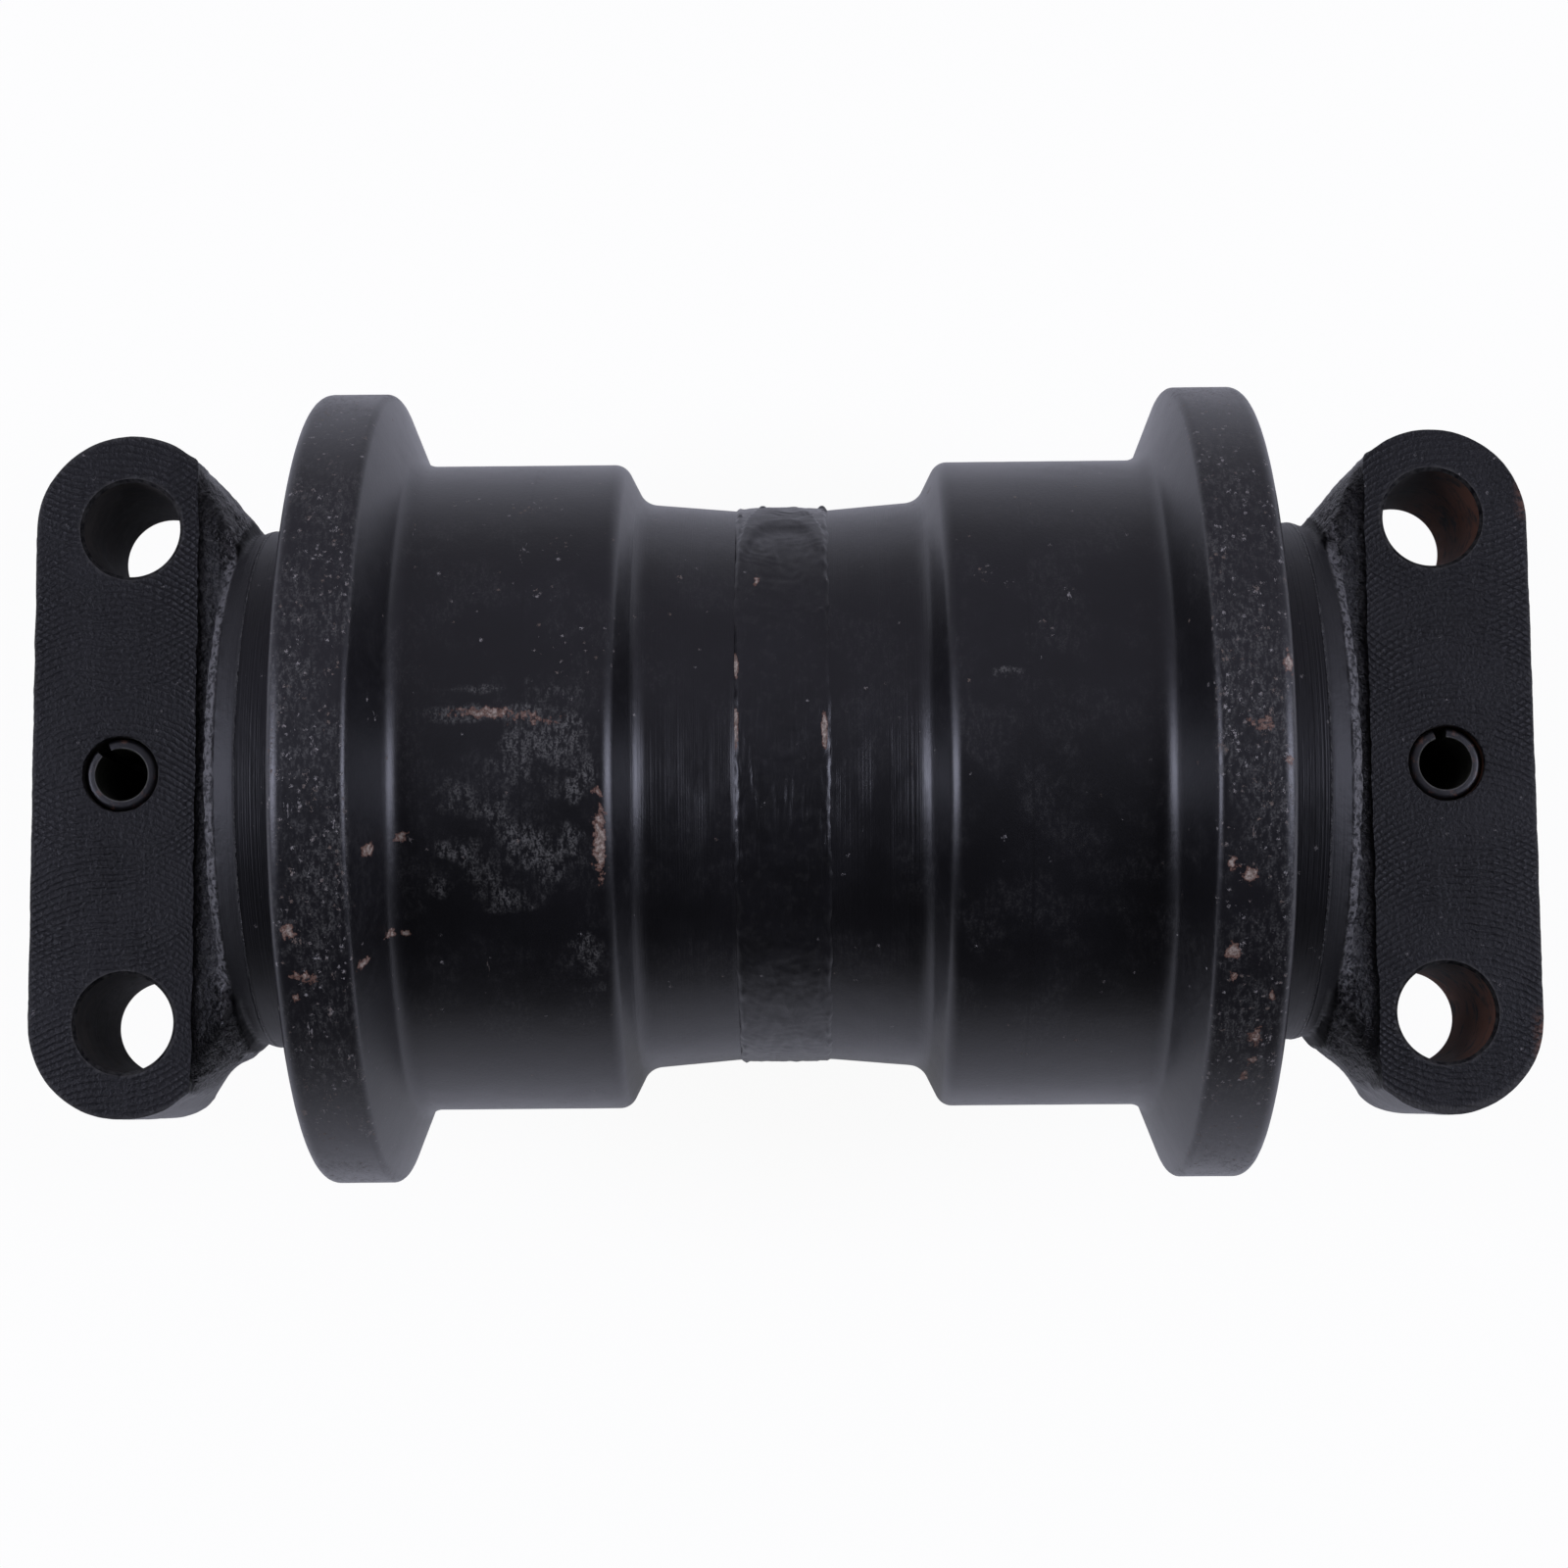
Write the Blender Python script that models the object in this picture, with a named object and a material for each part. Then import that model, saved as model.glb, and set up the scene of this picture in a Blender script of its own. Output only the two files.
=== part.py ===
"""Bottom track roller of a crawler excavator, in metres, with +Z up.

The roller turns about the Y axis, and the origin is the middle of the roller on that axis. Two end
collars bolt up under a track frame with their milled pads facing +Z. Each piece is modelled for the
+Y side, which is called right, and the left one is the same piece turned half way round Z.
"""

import math

import bmesh
import bpy
from mathutils import Matrix, Vector

MM = 0.001

# Clearances
SEAT_GAP = 0.3 * MM  # between pieces that are pressed together or rest on each other
RUN_GAP = 0.2 * MM  # radial, between the shaft and the bushes that turn on it
END_PLAY = 0.4 * MM  # axial, between a bush flange and its collar
SEAL_FACE_GAP = 0.1 * MM  # oil film between the two lapped faces of a seal
COLLAR_GAP = 0.6 * MM  # axial, between the floor of the shell's end recess and the collar
LABYRINTH_GAP = 0.8 * MM  # radial, between the shell's end recess and the collar's neck
SEAL_BORE_GAP = 2.0 * MM  # radial, between a seal ring and the collar's thrust boss

# Shell, outside, from the middle towards one end
WAIST_WIDTH = 48.8 * MM
WAIST_TAPER = 1.5 * MM
TREAD_STEP = 7.4 * MM
STEP_RUN = 5.6 * MM
TREAD_RADIUS = 60.7 * MM
TREAD_WIDTH = 36.8 * MM
FLANGE_LEAN = 5.4 * MM
FLANGE_HEIGHT = 13.5 * MM
FLANGE_WIDTH = 13.2 * MM
FLANGE_OUTER_ROUND = 2.4 * MM
FLANGE_INNER_ROUND = 1.6 * MM
FLANGE_FILLET = 2.6 * MM
TREAD_ROUND = 2.6 * MM
STEP_FILLET = 2.2 * MM

# Weld that joins the two halves of the shell
WELD_WIDTH = 16.4 * MM
WELD_DEPTH = 7.7 * MM
WELD_CROWN = 0.5 * MM

# Shaft and bushes
SHAFT_RADIUS = 21.0 * MM
SHAFT_CHAMFER = 2.0 * MM
SHAFT_RECESS = 1.5 * MM
BUSH_WALL = 4.0 * MM
BUSH_BARREL = 36.0 * MM
BUSH_FLANGE = 4.0 * MM
BUSH_END_ROOM = 1.0 * MM
OIL_CAVITY_STEP = 5.0 * MM

# Floating seals: a pair of metal rings, each carried in a rubber toric ring
BOSS_WALL = 8.2 * MM
SEAL_WALL = 2.8 * MM
SEAL_FACE_STEP = 4.3 * MM
SEAL_FACE_THICKNESS = 2.2 * MM
SEAL_RING_LENGTH = 8.4 * MM
SEAL_TAIL_ROOM = 1.1 * MM
TORIC_ROOM = 7.0 * MM
RECESS_DEPTH = 8.0 * MM

# Collar
SKIRT_WALL = 7.5 * MM
NECK_LENGTH = 17.0 * MM
NECK_CHAMFER = 1.0 * MM
CONE_LENGTH = 5.0 * MM
CONE_DROP = 1.6 * MM
DISC_BACK_RUN = 2.2 * MM
CHANNEL_WIDTH = 6.2 * MM
CHANNEL_DEPTH = 1.5 * MM
PAD_WIDTH = 29.2 * MM
PAD_WALL = 7.2 * MM
EAR_THICKNESS = 37.0 * MM
EAR_RADIUS = 17.2 * MM
EAR_FLANK = math.radians(45)  # how far the inner flank of an ear leans in towards the disc
BOLT_SPACING = 89.8 * MM
BOLT_HOLE_RADIUS = 8.75 * MM
SPOT_FACE_MARGIN = 6.0 * MM
SPOT_FACE_DEPTH = 1.0 * MM
HUB_WALL = 17.5 * MM
HUB_SETBACK = 1.2 * MM
HUB_FOOT = 6.0 * MM
GUSSET_FOOT = 3.0 * MM
GUSSET_LIP = 1.0 * MM

# Spring pins, O-rings, and the shaft's oil way
PIN_RADIUS = 6.5 * MM
PIN_WALL = 1.8 * MM
PIN_SLOT = 2.6 * MM
PIN_LENGTH = 56.0 * MM
PIN_SINK = 0.9 * MM
PIN_EDGE = 15.9 * MM
PIN_SLOT_TURN = {"left": math.radians(-145), "right": math.radians(-172)}
O_RING_OFFSET = 7.5 * MM
O_RING_WIDTH = 3.6 * MM
O_RING_DEPTH = 2.9 * MM
OIL_WAY_RADIUS = 2.8 * MM
OIL_WAY_OVERRUN = 4.0 * MM
PLUG_RADIUS = 4.6 * MM
PLUG_LENGTH = 10.0 * MM
PLUG_SINK = 1.0 * MM
PLUG_SOCKET_RADIUS = 2.6 * MM
PLUG_SOCKET_DEPTH = 5.0 * MM

# Facets
TURNED_STEPS = 48
SEAL_STEPS = 24
HOLE_STEPS = 24
FILLET_STEPS = 2
RING_SECTION_STEPS = 6
EAR_ARC_STEPS = 10
HEX_SIDES = 6
SHARP_ANGLE = math.radians(35)
CUT_PAST = 5.0 * MM  # how far a cutter reaches past what it cuts
SAME_POINT = 0.001 * MM  # points this close are one, as where a turned outline meets the axis

# Radii worked out from the shaft outwards
BUSH_BORE = SHAFT_RADIUS + RUN_GAP
BUSH_RADIUS = BUSH_BORE + BUSH_WALL
BUSH_SEAT = BUSH_RADIUS + SEAT_GAP
OIL_CAVITY = BUSH_SEAT + OIL_CAVITY_STEP
COLLAR_BORE = SHAFT_RADIUS + SEAT_GAP
BOSS_RADIUS = COLLAR_BORE + BOSS_WALL
SEAL_BORE = BOSS_RADIUS + SEAL_BORE_GAP
SEAL_TAIL = SEAL_BORE + SEAL_WALL
SEAL_SEAT = SEAL_TAIL + TORIC_ROOM
NECK_RADIUS = SEAL_SEAT + SKIRT_WALL
RECESS_RADIUS = NECK_RADIUS + LABYRINTH_GAP
HUB_RADIUS = COLLAR_BORE + HUB_WALL
WAIST_RADIUS = TREAD_RADIUS - TREAD_STEP
WELD_TOP = WAIST_RADIUS - WAIST_TAPER
WELD_ROOT = WELD_TOP - WELD_DEPTH
FLANGE_RADIUS = TREAD_RADIUS + FLANGE_HEIGHT
PIN_HOLE = PIN_RADIUS + SEAT_GAP
PLUG_BORE = PLUG_RADIUS + SEAT_GAP
OIL_WAY_OFFSET = (PIN_HOLE + SHAFT_RADIUS - SHAFT_CHAMFER) / 2  # midway from the pin to the chamfer

# Stations along the axis worked out from the middle towards the right end
STEP_FOOT_Y = WAIST_WIDTH / 2
TREAD_START_Y = STEP_FOOT_Y + STEP_RUN
TREAD_END_Y = TREAD_START_Y + TREAD_WIDTH
FLANGE_INNER_Y = TREAD_END_Y + FLANGE_LEAN
SHELL_END_Y = FLANGE_INNER_Y + FLANGE_WIDTH
RECESS_Y = SHELL_END_Y - RECESS_DEPTH
SEAL_SEAT_DEPTH = SEAL_RING_LENGTH + SEAL_TAIL_ROOM
SHELL_SEAL_Y = RECESS_Y - SEAL_SEAT_DEPTH
BUSH_FLANGE_Y = SHELL_SEAL_Y + SEAT_GAP
BUSH_FACE_Y = BUSH_FLANGE_Y + BUSH_FLANGE
BUSH_INNER_Y = BUSH_FLANGE_Y - BUSH_BARREL
OIL_CAVITY_Y = BUSH_INNER_Y - BUSH_END_ROOM
THRUST_Y = BUSH_FACE_Y + END_PLAY
COLLAR_Y = RECESS_Y + COLLAR_GAP
SEAL_FACE_Y = RECESS_Y + COLLAR_GAP / 2
COLLAR_SEAL_Y = COLLAR_Y + SEAL_SEAT_DEPTH
NECK_END_Y = COLLAR_Y + NECK_LENGTH
DISC_EDGE_Y = NECK_END_Y + CONE_LENGTH
PAD_INNER_Y = DISC_EDGE_Y + CHANNEL_WIDTH
OUTER_Y = PAD_INNER_Y + PAD_WIDTH
BOLT_Y = OUTER_Y - EAR_RADIUS
PIN_Y = OUTER_Y - PIN_EDGE
SHAFT_END_Y = OUTER_Y - SHAFT_RECESS
O_RING_Y = COLLAR_SEAL_Y + O_RING_OFFSET

# Heights above the axis
PAD_Z = COLLAR_BORE + PAD_WALL
CHANNEL_Z = PAD_Z - CHANNEL_DEPTH
EAR_BOTTOM_Z = PAD_Z - EAR_THICKNESS
PIN_TOP_Z = PAD_Z - PIN_SINK

SIDES = {"left": math.pi, "right": 0.0}

PAINT = ("black_paint", (0.012, 0.012, 0.014), 0.42, 0.0)
WELD_PAINT = ("black_paint_on_weld", (0.014, 0.013, 0.014), 0.38, 0.0)
SHAFT_STEEL = ("ground_steel", (0.36, 0.36, 0.37), 0.28, 1.0)
PIN_STEEL = ("blackened_spring_steel", (0.035, 0.033, 0.032), 0.45, 1.0)
SEAL_IRON = ("lapped_seal_iron", (0.42, 0.41, 0.40), 0.22, 1.0)
BRONZE = ("bush_bronze", (0.52, 0.32, 0.12), 0.35, 1.0)
RUBBER = ("seal_rubber", (0.015, 0.015, 0.015), 0.7, 0.0)
PLUG_STEEL = ("zinc_plated_plug", (0.45, 0.44, 0.42), 0.4, 1.0)


def clear_scene():
    for item in list(bpy.data.objects):
        bpy.data.objects.remove(item, do_unlink=True)


def material(spec):
    """The named Principled material, made the first time it is asked for."""
    name, colour, roughness, metallic = spec
    found = bpy.data.materials.get(name)
    if found:
        return found
    made = bpy.data.materials.new(name)
    made.use_nodes = True
    shader = made.node_tree.nodes["Principled BSDF"]
    shader.inputs["Base Color"].default_value = (*colour, 1.0)
    shader.inputs["Roughness"].default_value = roughness
    shader.inputs["Metallic"].default_value = metallic
    made.diffuse_color = (*colour, 1.0)
    return made


def empty(name):
    """A plain empty on the roller's axis, which carries the pieces of one body."""
    made = bpy.data.objects.new(name, None)
    bpy.context.scene.collection.objects.link(made)
    return made


def piece(name, mesh):
    made = bpy.data.objects.new(name, mesh)
    bpy.context.scene.collection.objects.link(made)
    return made


def mesh_from(bm, name):
    bmesh.ops.recalc_face_normals(bm, faces=bm.faces)
    mesh = bpy.data.meshes.new(name)
    bm.to_mesh(mesh)
    bm.free()
    return mesh


def finish(item, spec, parent, turn=0.0):
    """Shades a piece, gives it its material and hangs it on its body."""
    mesh = item.data
    mesh.shade_smooth()
    mesh.set_sharp_from_angle(angle=SHARP_ANGLE)
    mesh.materials.clear()
    mesh.materials.append(material(spec))
    item.parent = parent
    item.rotation_euler.z += turn


def rounded(corners):
    """The outline through (a, b, radius) corners, with an arc at each corner that has a radius."""
    outline = []
    for index, (a, b, radius) in enumerate(corners):
        corner = Vector((a, b))
        before = Vector(corners[index - 1][:2]) - corner
        after = Vector(corners[(index + 1) % len(corners)][:2]) - corner
        if radius == 0:
            outline.append(corner)
            continue
        half = before.angle(after) / 2
        reach = min(radius / math.tan(half), before.length / 2, after.length / 2)
        radius = reach * math.tan(half)
        start = corner + before.normalized() * reach
        end = corner + after.normalized() * reach
        middle = corner + (before.normalized() + after.normalized()).normalized() * radius / math.sin(half)
        sweep = (start - middle).angle_signed(end - middle)
        for step in range(FILLET_STEPS + 1):
            turn = Matrix.Rotation(-sweep * step / FILLET_STEPS, 2)
            outline.append(middle + turn @ (start - middle))
    return outline


def turned(name, outline, steps):
    """A closed (y, radius) outline spun about the Y axis."""
    bm = bmesh.new()
    points = [bm.verts.new((radius, y, 0)) for y, radius in outline]
    edges = [bm.edges.new((points[i - 1], points[i])) for i in range(len(points))]
    bmesh.ops.spin(bm, geom=points + edges, cent=(0, 0, 0), axis=(0, 1, 0), angle=math.tau, steps=steps,
                   use_merge=True)
    bmesh.ops.remove_doubles(bm, verts=bm.verts, dist=SAME_POINT)
    return mesh_from(bm, name)


def extruded(name, outline, travel):
    """A closed outline of 3-D points swept along a straight line."""
    bm = bmesh.new()
    face = bm.faces.new([bm.verts.new(point) for point in outline])
    top = bmesh.ops.extrude_face_region(bm, geom=[face])["geom"]
    bmesh.ops.translate(bm, vec=travel, verts=[v for v in top if isinstance(v, bmesh.types.BMVert)])
    return mesh_from(bm, name)


def rod(name, radius, start, end, steps=HOLE_STEPS):
    """A straight cylinder between two points."""
    start, end = Vector(start), Vector(end)
    along = end - start
    place = Matrix.Translation((start + end) / 2) @ along.to_track_quat("Z", "Y").to_matrix().to_4x4()
    bm = bmesh.new()
    bmesh.ops.create_cone(bm, cap_ends=True, segments=steps, radius1=radius, radius2=radius,
                          depth=along.length, matrix=place)
    return mesh_from(bm, name)


def block(name, low, high):
    """A box between two corners."""
    low, high = Vector(low), Vector(high)
    bm = bmesh.new()
    size = high - low
    place = Matrix.Translation((low + high) / 2) @ Matrix.Diagonal((*size, 1.0))
    bmesh.ops.create_cube(bm, size=1.0, matrix=place)
    return mesh_from(bm, name)


def combine(item, mesh, operation):
    """Joins a mesh to a piece, or cuts it out, and keeps the result as the piece's own mesh."""
    tool = piece("tool", mesh)
    modifier = item.modifiers.new("combine", "BOOLEAN")
    modifier.operation = operation
    modifier.solver = "EXACT"
    modifier.object = tool
    graph = bpy.context.evaluated_depsgraph_get()
    result = bpy.data.meshes.new_from_object(item.evaluated_get(graph))
    item.modifiers.clear()
    item.data = result
    bm = bmesh.new()
    bm.from_mesh(result)
    bmesh.ops.remove_doubles(bm, verts=bm.verts, dist=SAME_POINT)
    bm.to_mesh(result)
    bm.free()
    bpy.data.objects.remove(tool, do_unlink=True)


def mesh_alone(item):
    """The mesh of a piece that was only needed while its mesh was made."""
    mesh = item.data
    bpy.data.objects.remove(item, do_unlink=True)
    return mesh


def shell_half():
    """One forged half of the roller: half a waist, a tread, a flange and the bores inside."""
    root_y = SEAT_GAP / 2
    outline = rounded([
        (root_y, WELD_ROOT, 0),
        (WELD_WIDTH / 2, WELD_TOP, 0),
        (STEP_FOOT_Y, WAIST_RADIUS, STEP_FILLET),
        (TREAD_START_Y, TREAD_RADIUS, TREAD_ROUND),
        (TREAD_END_Y, TREAD_RADIUS, FLANGE_FILLET),
        (FLANGE_INNER_Y, FLANGE_RADIUS, FLANGE_INNER_ROUND),
        (SHELL_END_Y, FLANGE_RADIUS, FLANGE_OUTER_ROUND),
        (SHELL_END_Y, RECESS_RADIUS, 0),
        (RECESS_Y, RECESS_RADIUS, 0),
        (RECESS_Y, SEAL_SEAT, 0),
        (SHELL_SEAL_Y, SEAL_SEAT, 0),
        (SHELL_SEAL_Y, BUSH_SEAT, 0),
        (OIL_CAVITY_Y, BUSH_SEAT, 0),
        (OIL_CAVITY_Y, OIL_CAVITY, 0),
        (root_y, OIL_CAVITY, 0),
    ])
    return turned("roller_half", outline, TURNED_STEPS)


def weld_bead():
    """The ring of weld metal in the groove between the two halves, with a low crown."""
    edge_y = WELD_WIDTH / 2 - SEAT_GAP
    outline = [
        (0, WELD_ROOT + 2 * SEAT_GAP),
        (edge_y, WELD_TOP),
        (edge_y / 2, WELD_TOP + WELD_CROWN),
        (-edge_y / 2, WELD_TOP + WELD_CROWN),
        (-edge_y, WELD_TOP),
    ]
    return turned("weld_bead", outline, TURNED_STEPS)


def bush():
    """A flanged bronze bush, pressed into the shell from its end."""
    outline = [
        (BUSH_INNER_Y, BUSH_BORE),
        (BUSH_INNER_Y, BUSH_RADIUS),
        (BUSH_FLANGE_Y, BUSH_RADIUS),
        (BUSH_FLANGE_Y, BOSS_RADIUS),
        (BUSH_FACE_Y, BOSS_RADIUS),
        (BUSH_FACE_Y, BUSH_BORE),
    ]
    return turned("bush", outline, TURNED_STEPS)


def seal_ring(outward):
    """A lapped metal seal ring, running from the sealing face outwards (1) or inwards (-1)."""
    face = SEAL_FACE_GAP / 2
    shoulder = face + SEAL_FACE_THICKNESS
    tail = face + SEAL_RING_LENGTH
    outline = [
        (face, SEAL_BORE),
        (face, SEAL_TAIL + SEAL_FACE_STEP),
        (shoulder, SEAL_TAIL + SEAL_FACE_STEP),
        (shoulder, SEAL_TAIL),
        (tail, SEAL_TAIL),
        (tail, SEAL_BORE),
    ]
    return turned("seal_ring", [(SEAL_FACE_Y + outward * y, r) for y, r in outline], SEAL_STEPS)


def oval_ring(name, middle_y, middle_radius, half_length, half_height):
    """A rubber ring whose section is squeezed to an oval."""
    angles = [math.tau * step / RING_SECTION_STEPS for step in range(RING_SECTION_STEPS)]
    outline = [
        (middle_y + half_length * math.cos(angle), middle_radius + half_height * math.sin(angle))
        for angle in angles
    ]
    return turned(name, outline, SEAL_STEPS)


def toric_ring(outward):
    """The rubber ring squeezed between a seal ring's tail and its seat."""
    half_length = (SEAL_RING_LENGTH - SEAL_FACE_THICKNESS) / 2 - SEAT_GAP
    middle = SEAL_FACE_GAP / 2 + SEAL_FACE_THICKNESS + SEAT_GAP + half_length
    return oval_ring("toric_ring", SEAL_FACE_Y + outward * middle, (SEAL_TAIL + SEAL_SEAT) / 2,
                     half_length, TORIC_ROOM / 2 - SEAT_GAP)


def shaft_o_ring():
    """The O-ring in the shaft's groove, squeezed by the collar's bore."""
    return oval_ring("shaft_o_ring", O_RING_Y, COLLAR_BORE - O_RING_DEPTH / 2,
                     O_RING_WIDTH / 2 - SEAT_GAP, O_RING_DEPTH / 2 - SEAT_GAP)


def shaft():
    """The fixed shaft, with its O-ring grooves, pin holes and off-centre oil way."""
    groove = COLLAR_BORE - O_RING_DEPTH
    half = [
        (O_RING_Y - O_RING_WIDTH / 2, SHAFT_RADIUS),
        (O_RING_Y - O_RING_WIDTH / 2, groove),
        (O_RING_Y + O_RING_WIDTH / 2, groove),
        (O_RING_Y + O_RING_WIDTH / 2, SHAFT_RADIUS),
        (SHAFT_END_Y - SHAFT_CHAMFER, SHAFT_RADIUS),
        (SHAFT_END_Y, SHAFT_RADIUS - SHAFT_CHAMFER),
        (SHAFT_END_Y, 0),
    ]
    outline = half + [(-y, radius) for y, radius in reversed(half)]
    item = piece("shaft", turned("shaft", outline, TURNED_STEPS))
    reach = SHAFT_RADIUS + CUT_PAST
    for y in (-PIN_Y, PIN_Y):
        combine(item, rod("pin_hole", PIN_HOLE, (0, y, -reach), (0, y, reach)), "DIFFERENCE")
    plug_floor = SHAFT_END_Y - PLUG_SINK - PLUG_LENGTH - SEAT_GAP
    oil_way = rod("oil_way", OIL_WAY_RADIUS, (OIL_WAY_OFFSET, -OIL_WAY_OVERRUN, 0),
                  (OIL_WAY_OFFSET, SHAFT_END_Y + CUT_PAST, 0))
    combine(item, oil_way, "DIFFERENCE")
    plug_bore = rod("plug_bore", PLUG_BORE, (OIL_WAY_OFFSET, plug_floor, 0),
                    (OIL_WAY_OFFSET, SHAFT_END_Y + CUT_PAST, 0))
    combine(item, plug_bore, "DIFFERENCE")
    outlet = rod("outlet", OIL_WAY_RADIUS, (OIL_WAY_OFFSET, 0, 0), (SHAFT_RADIUS + CUT_PAST, 0, 0))
    combine(item, outlet, "DIFFERENCE")
    return item


def oil_plug():
    """The socket-head plug that closes the oil way at the shaft's right end."""
    outer = SHAFT_END_Y - PLUG_SINK
    item = piece("oil_plug", rod("oil_plug", PLUG_RADIUS, (OIL_WAY_OFFSET, outer - PLUG_LENGTH, 0),
                                 (OIL_WAY_OFFSET, outer, 0)))
    socket = rod("socket", PLUG_SOCKET_RADIUS, (OIL_WAY_OFFSET, outer - PLUG_SOCKET_DEPTH, 0),
                 (OIL_WAY_OFFSET, outer + CUT_PAST, 0), HEX_SIDES)
    combine(item, socket, "DIFFERENCE")
    return item


def spring_pin():
    """A slotted spring pin standing on end, with its slot towards +X."""
    slot = math.asin(PIN_SLOT / 2 / PIN_RADIUS)
    arc = [slot + (math.tau - 2 * slot) * step / HOLE_STEPS for step in range(HOLE_STEPS + 1)]
    bore = PIN_RADIUS - PIN_WALL
    low = PIN_TOP_Z - PIN_LENGTH
    outline = [(PIN_RADIUS * math.cos(a), PIN_RADIUS * math.sin(a), low) for a in arc]
    outline += [(bore * math.cos(a), bore * math.sin(a), low) for a in reversed(arc)]
    return extruded("spring_pin", outline, (0, 0, PIN_LENGTH))


def ear_outline():
    """The collar's block seen from above: two round ears whose inner flanks run in to the disc."""
    foot_y = DISC_EDGE_Y - GUSSET_FOOT
    centre = Vector((BOLT_SPACING / 2, BOLT_Y))
    right = []
    for step in range(EAR_ARC_STEPS + 1):
        angle = math.pi / 2 - (math.pi / 2 + EAR_FLANK) * step / EAR_ARC_STEPS
        right.append(centre + EAR_RADIUS * Vector((math.cos(angle), math.sin(angle))))
    run = right[-1].y - foot_y
    right.append(right[-1] - Vector((run * math.tan(EAR_FLANK), run)))
    left = [Vector((-point.x, point.y)) for point in reversed(right)]
    return right + left


def trim_gussets(item):
    """Slopes the inner top corner of each ear from the pad's edge down to the neck."""
    outline = ear_outline()
    foot = outline[EAR_ARC_STEPS + 1]
    inner_x = math.sqrt(NECK_RADIUS**2 - CHANNEL_Z**2)
    lip_y = PAD_INNER_Y - GUSSET_LIP
    high_outer = Vector((foot.x + (lip_y - foot.y) * math.tan(EAR_FLANK), lip_y, CHANNEL_Z))
    high_inner = Vector((inner_x, DISC_EDGE_Y, CHANNEL_Z))
    low = Vector((foot.x, foot.y, 0))
    along = (high_inner - high_outer).normalized()
    out = (high_outer - low).cross(along).normalized()
    if out.z < 0:
        out.negate()
    down = out.cross(along)
    reach = BOLT_SPACING
    signs = ((-1, -1), (1, -1), (1, 1), (-1, 1))
    corners = [high_outer + (along * a + down * d) * reach for a, d in signs]
    for mirror in (1, -1):
        flip = Matrix.Diagonal((mirror, 1, 1))
        wedge = extruded("gusset_trim", [flip @ point for point in corners], flip @ out * reach)
        combine(item, wedge, "DIFFERENCE")


def collar():
    """The cast end collar: a turned disc that covers the seal, and a block with two bolt ears."""
    ears = [(point.x, point.y, EAR_BOTTOM_Z) for point in ear_outline()]
    item = piece("collar", extruded("collar", ears, (0, 0, EAR_THICKNESS)))
    above_z = PAD_Z + CUT_PAST
    below_z = -HUB_RADIUS - CUT_PAST
    channel = block("channel", (-BOLT_SPACING, COLLAR_Y, CHANNEL_Z), (BOLT_SPACING, PAD_INNER_Y, above_z))
    combine(item, channel, "DIFFERENCE")
    trim_gussets(item)
    hub_start_y = DISC_EDGE_Y - HUB_FOOT
    hub_length = OUTER_Y - HUB_SETBACK - hub_start_y
    half_turn = [math.pi + math.pi * step / HOLE_STEPS for step in range(HOLE_STEPS + 1)]
    hub = [(HUB_RADIUS * math.cos(a), hub_start_y, HUB_RADIUS * math.sin(a)) for a in half_turn]
    hub += [(HUB_RADIUS, hub_start_y, COLLAR_BORE), (-HUB_RADIUS, hub_start_y, COLLAR_BORE)]
    combine(item, extruded("hub", hub, (0, hub_length, 0)), "UNION")
    combine(item, disc(), "UNION")
    bore = rod("bore", COLLAR_BORE, (0, THRUST_Y - CUT_PAST, 0), (0, OUTER_Y + CUT_PAST, 0), TURNED_STEPS)
    combine(item, bore, "DIFFERENCE")
    for side in (-1, 1):
        x = side * BOLT_SPACING / 2
        below = (x, BOLT_Y, below_z)
        hole = rod("bolt_hole", BOLT_HOLE_RADIUS, below, (x, BOLT_Y, above_z))
        combine(item, hole, "DIFFERENCE")
        face_z = EAR_BOTTOM_Z + SPOT_FACE_DEPTH
        face = rod("spot_face", BOLT_HOLE_RADIUS + SPOT_FACE_MARGIN, below, (x, BOLT_Y, face_z))
        combine(item, face, "DIFFERENCE")
    pin_hole = rod("pin_hole", PIN_HOLE, (0, PIN_Y, below_z), (0, PIN_Y, above_z))
    combine(item, pin_hole, "DIFFERENCE")
    return item


def disc():
    """The collar's turned disc, with the thrust boss and the seal seat on its inner side."""
    back_radius = CHANNEL_Z
    outline = [
        (THRUST_Y, COLLAR_BORE - SEAT_GAP),
        (THRUST_Y, BOSS_RADIUS),
        (COLLAR_SEAL_Y, BOSS_RADIUS),
        (COLLAR_SEAL_Y, SEAL_SEAT),
        (COLLAR_Y, SEAL_SEAT),
        (COLLAR_Y, NECK_RADIUS - NECK_CHAMFER),
        (COLLAR_Y + NECK_CHAMFER, NECK_RADIUS),
        (NECK_END_Y, NECK_RADIUS),
        (DISC_EDGE_Y, NECK_RADIUS - CONE_DROP),
        (DISC_EDGE_Y + DISC_BACK_RUN, back_radius),
        (DISC_EDGE_Y + DISC_BACK_RUN, COLLAR_BORE - SEAT_GAP),
    ]
    return turned("disc", outline, TURNED_STEPS)


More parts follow.
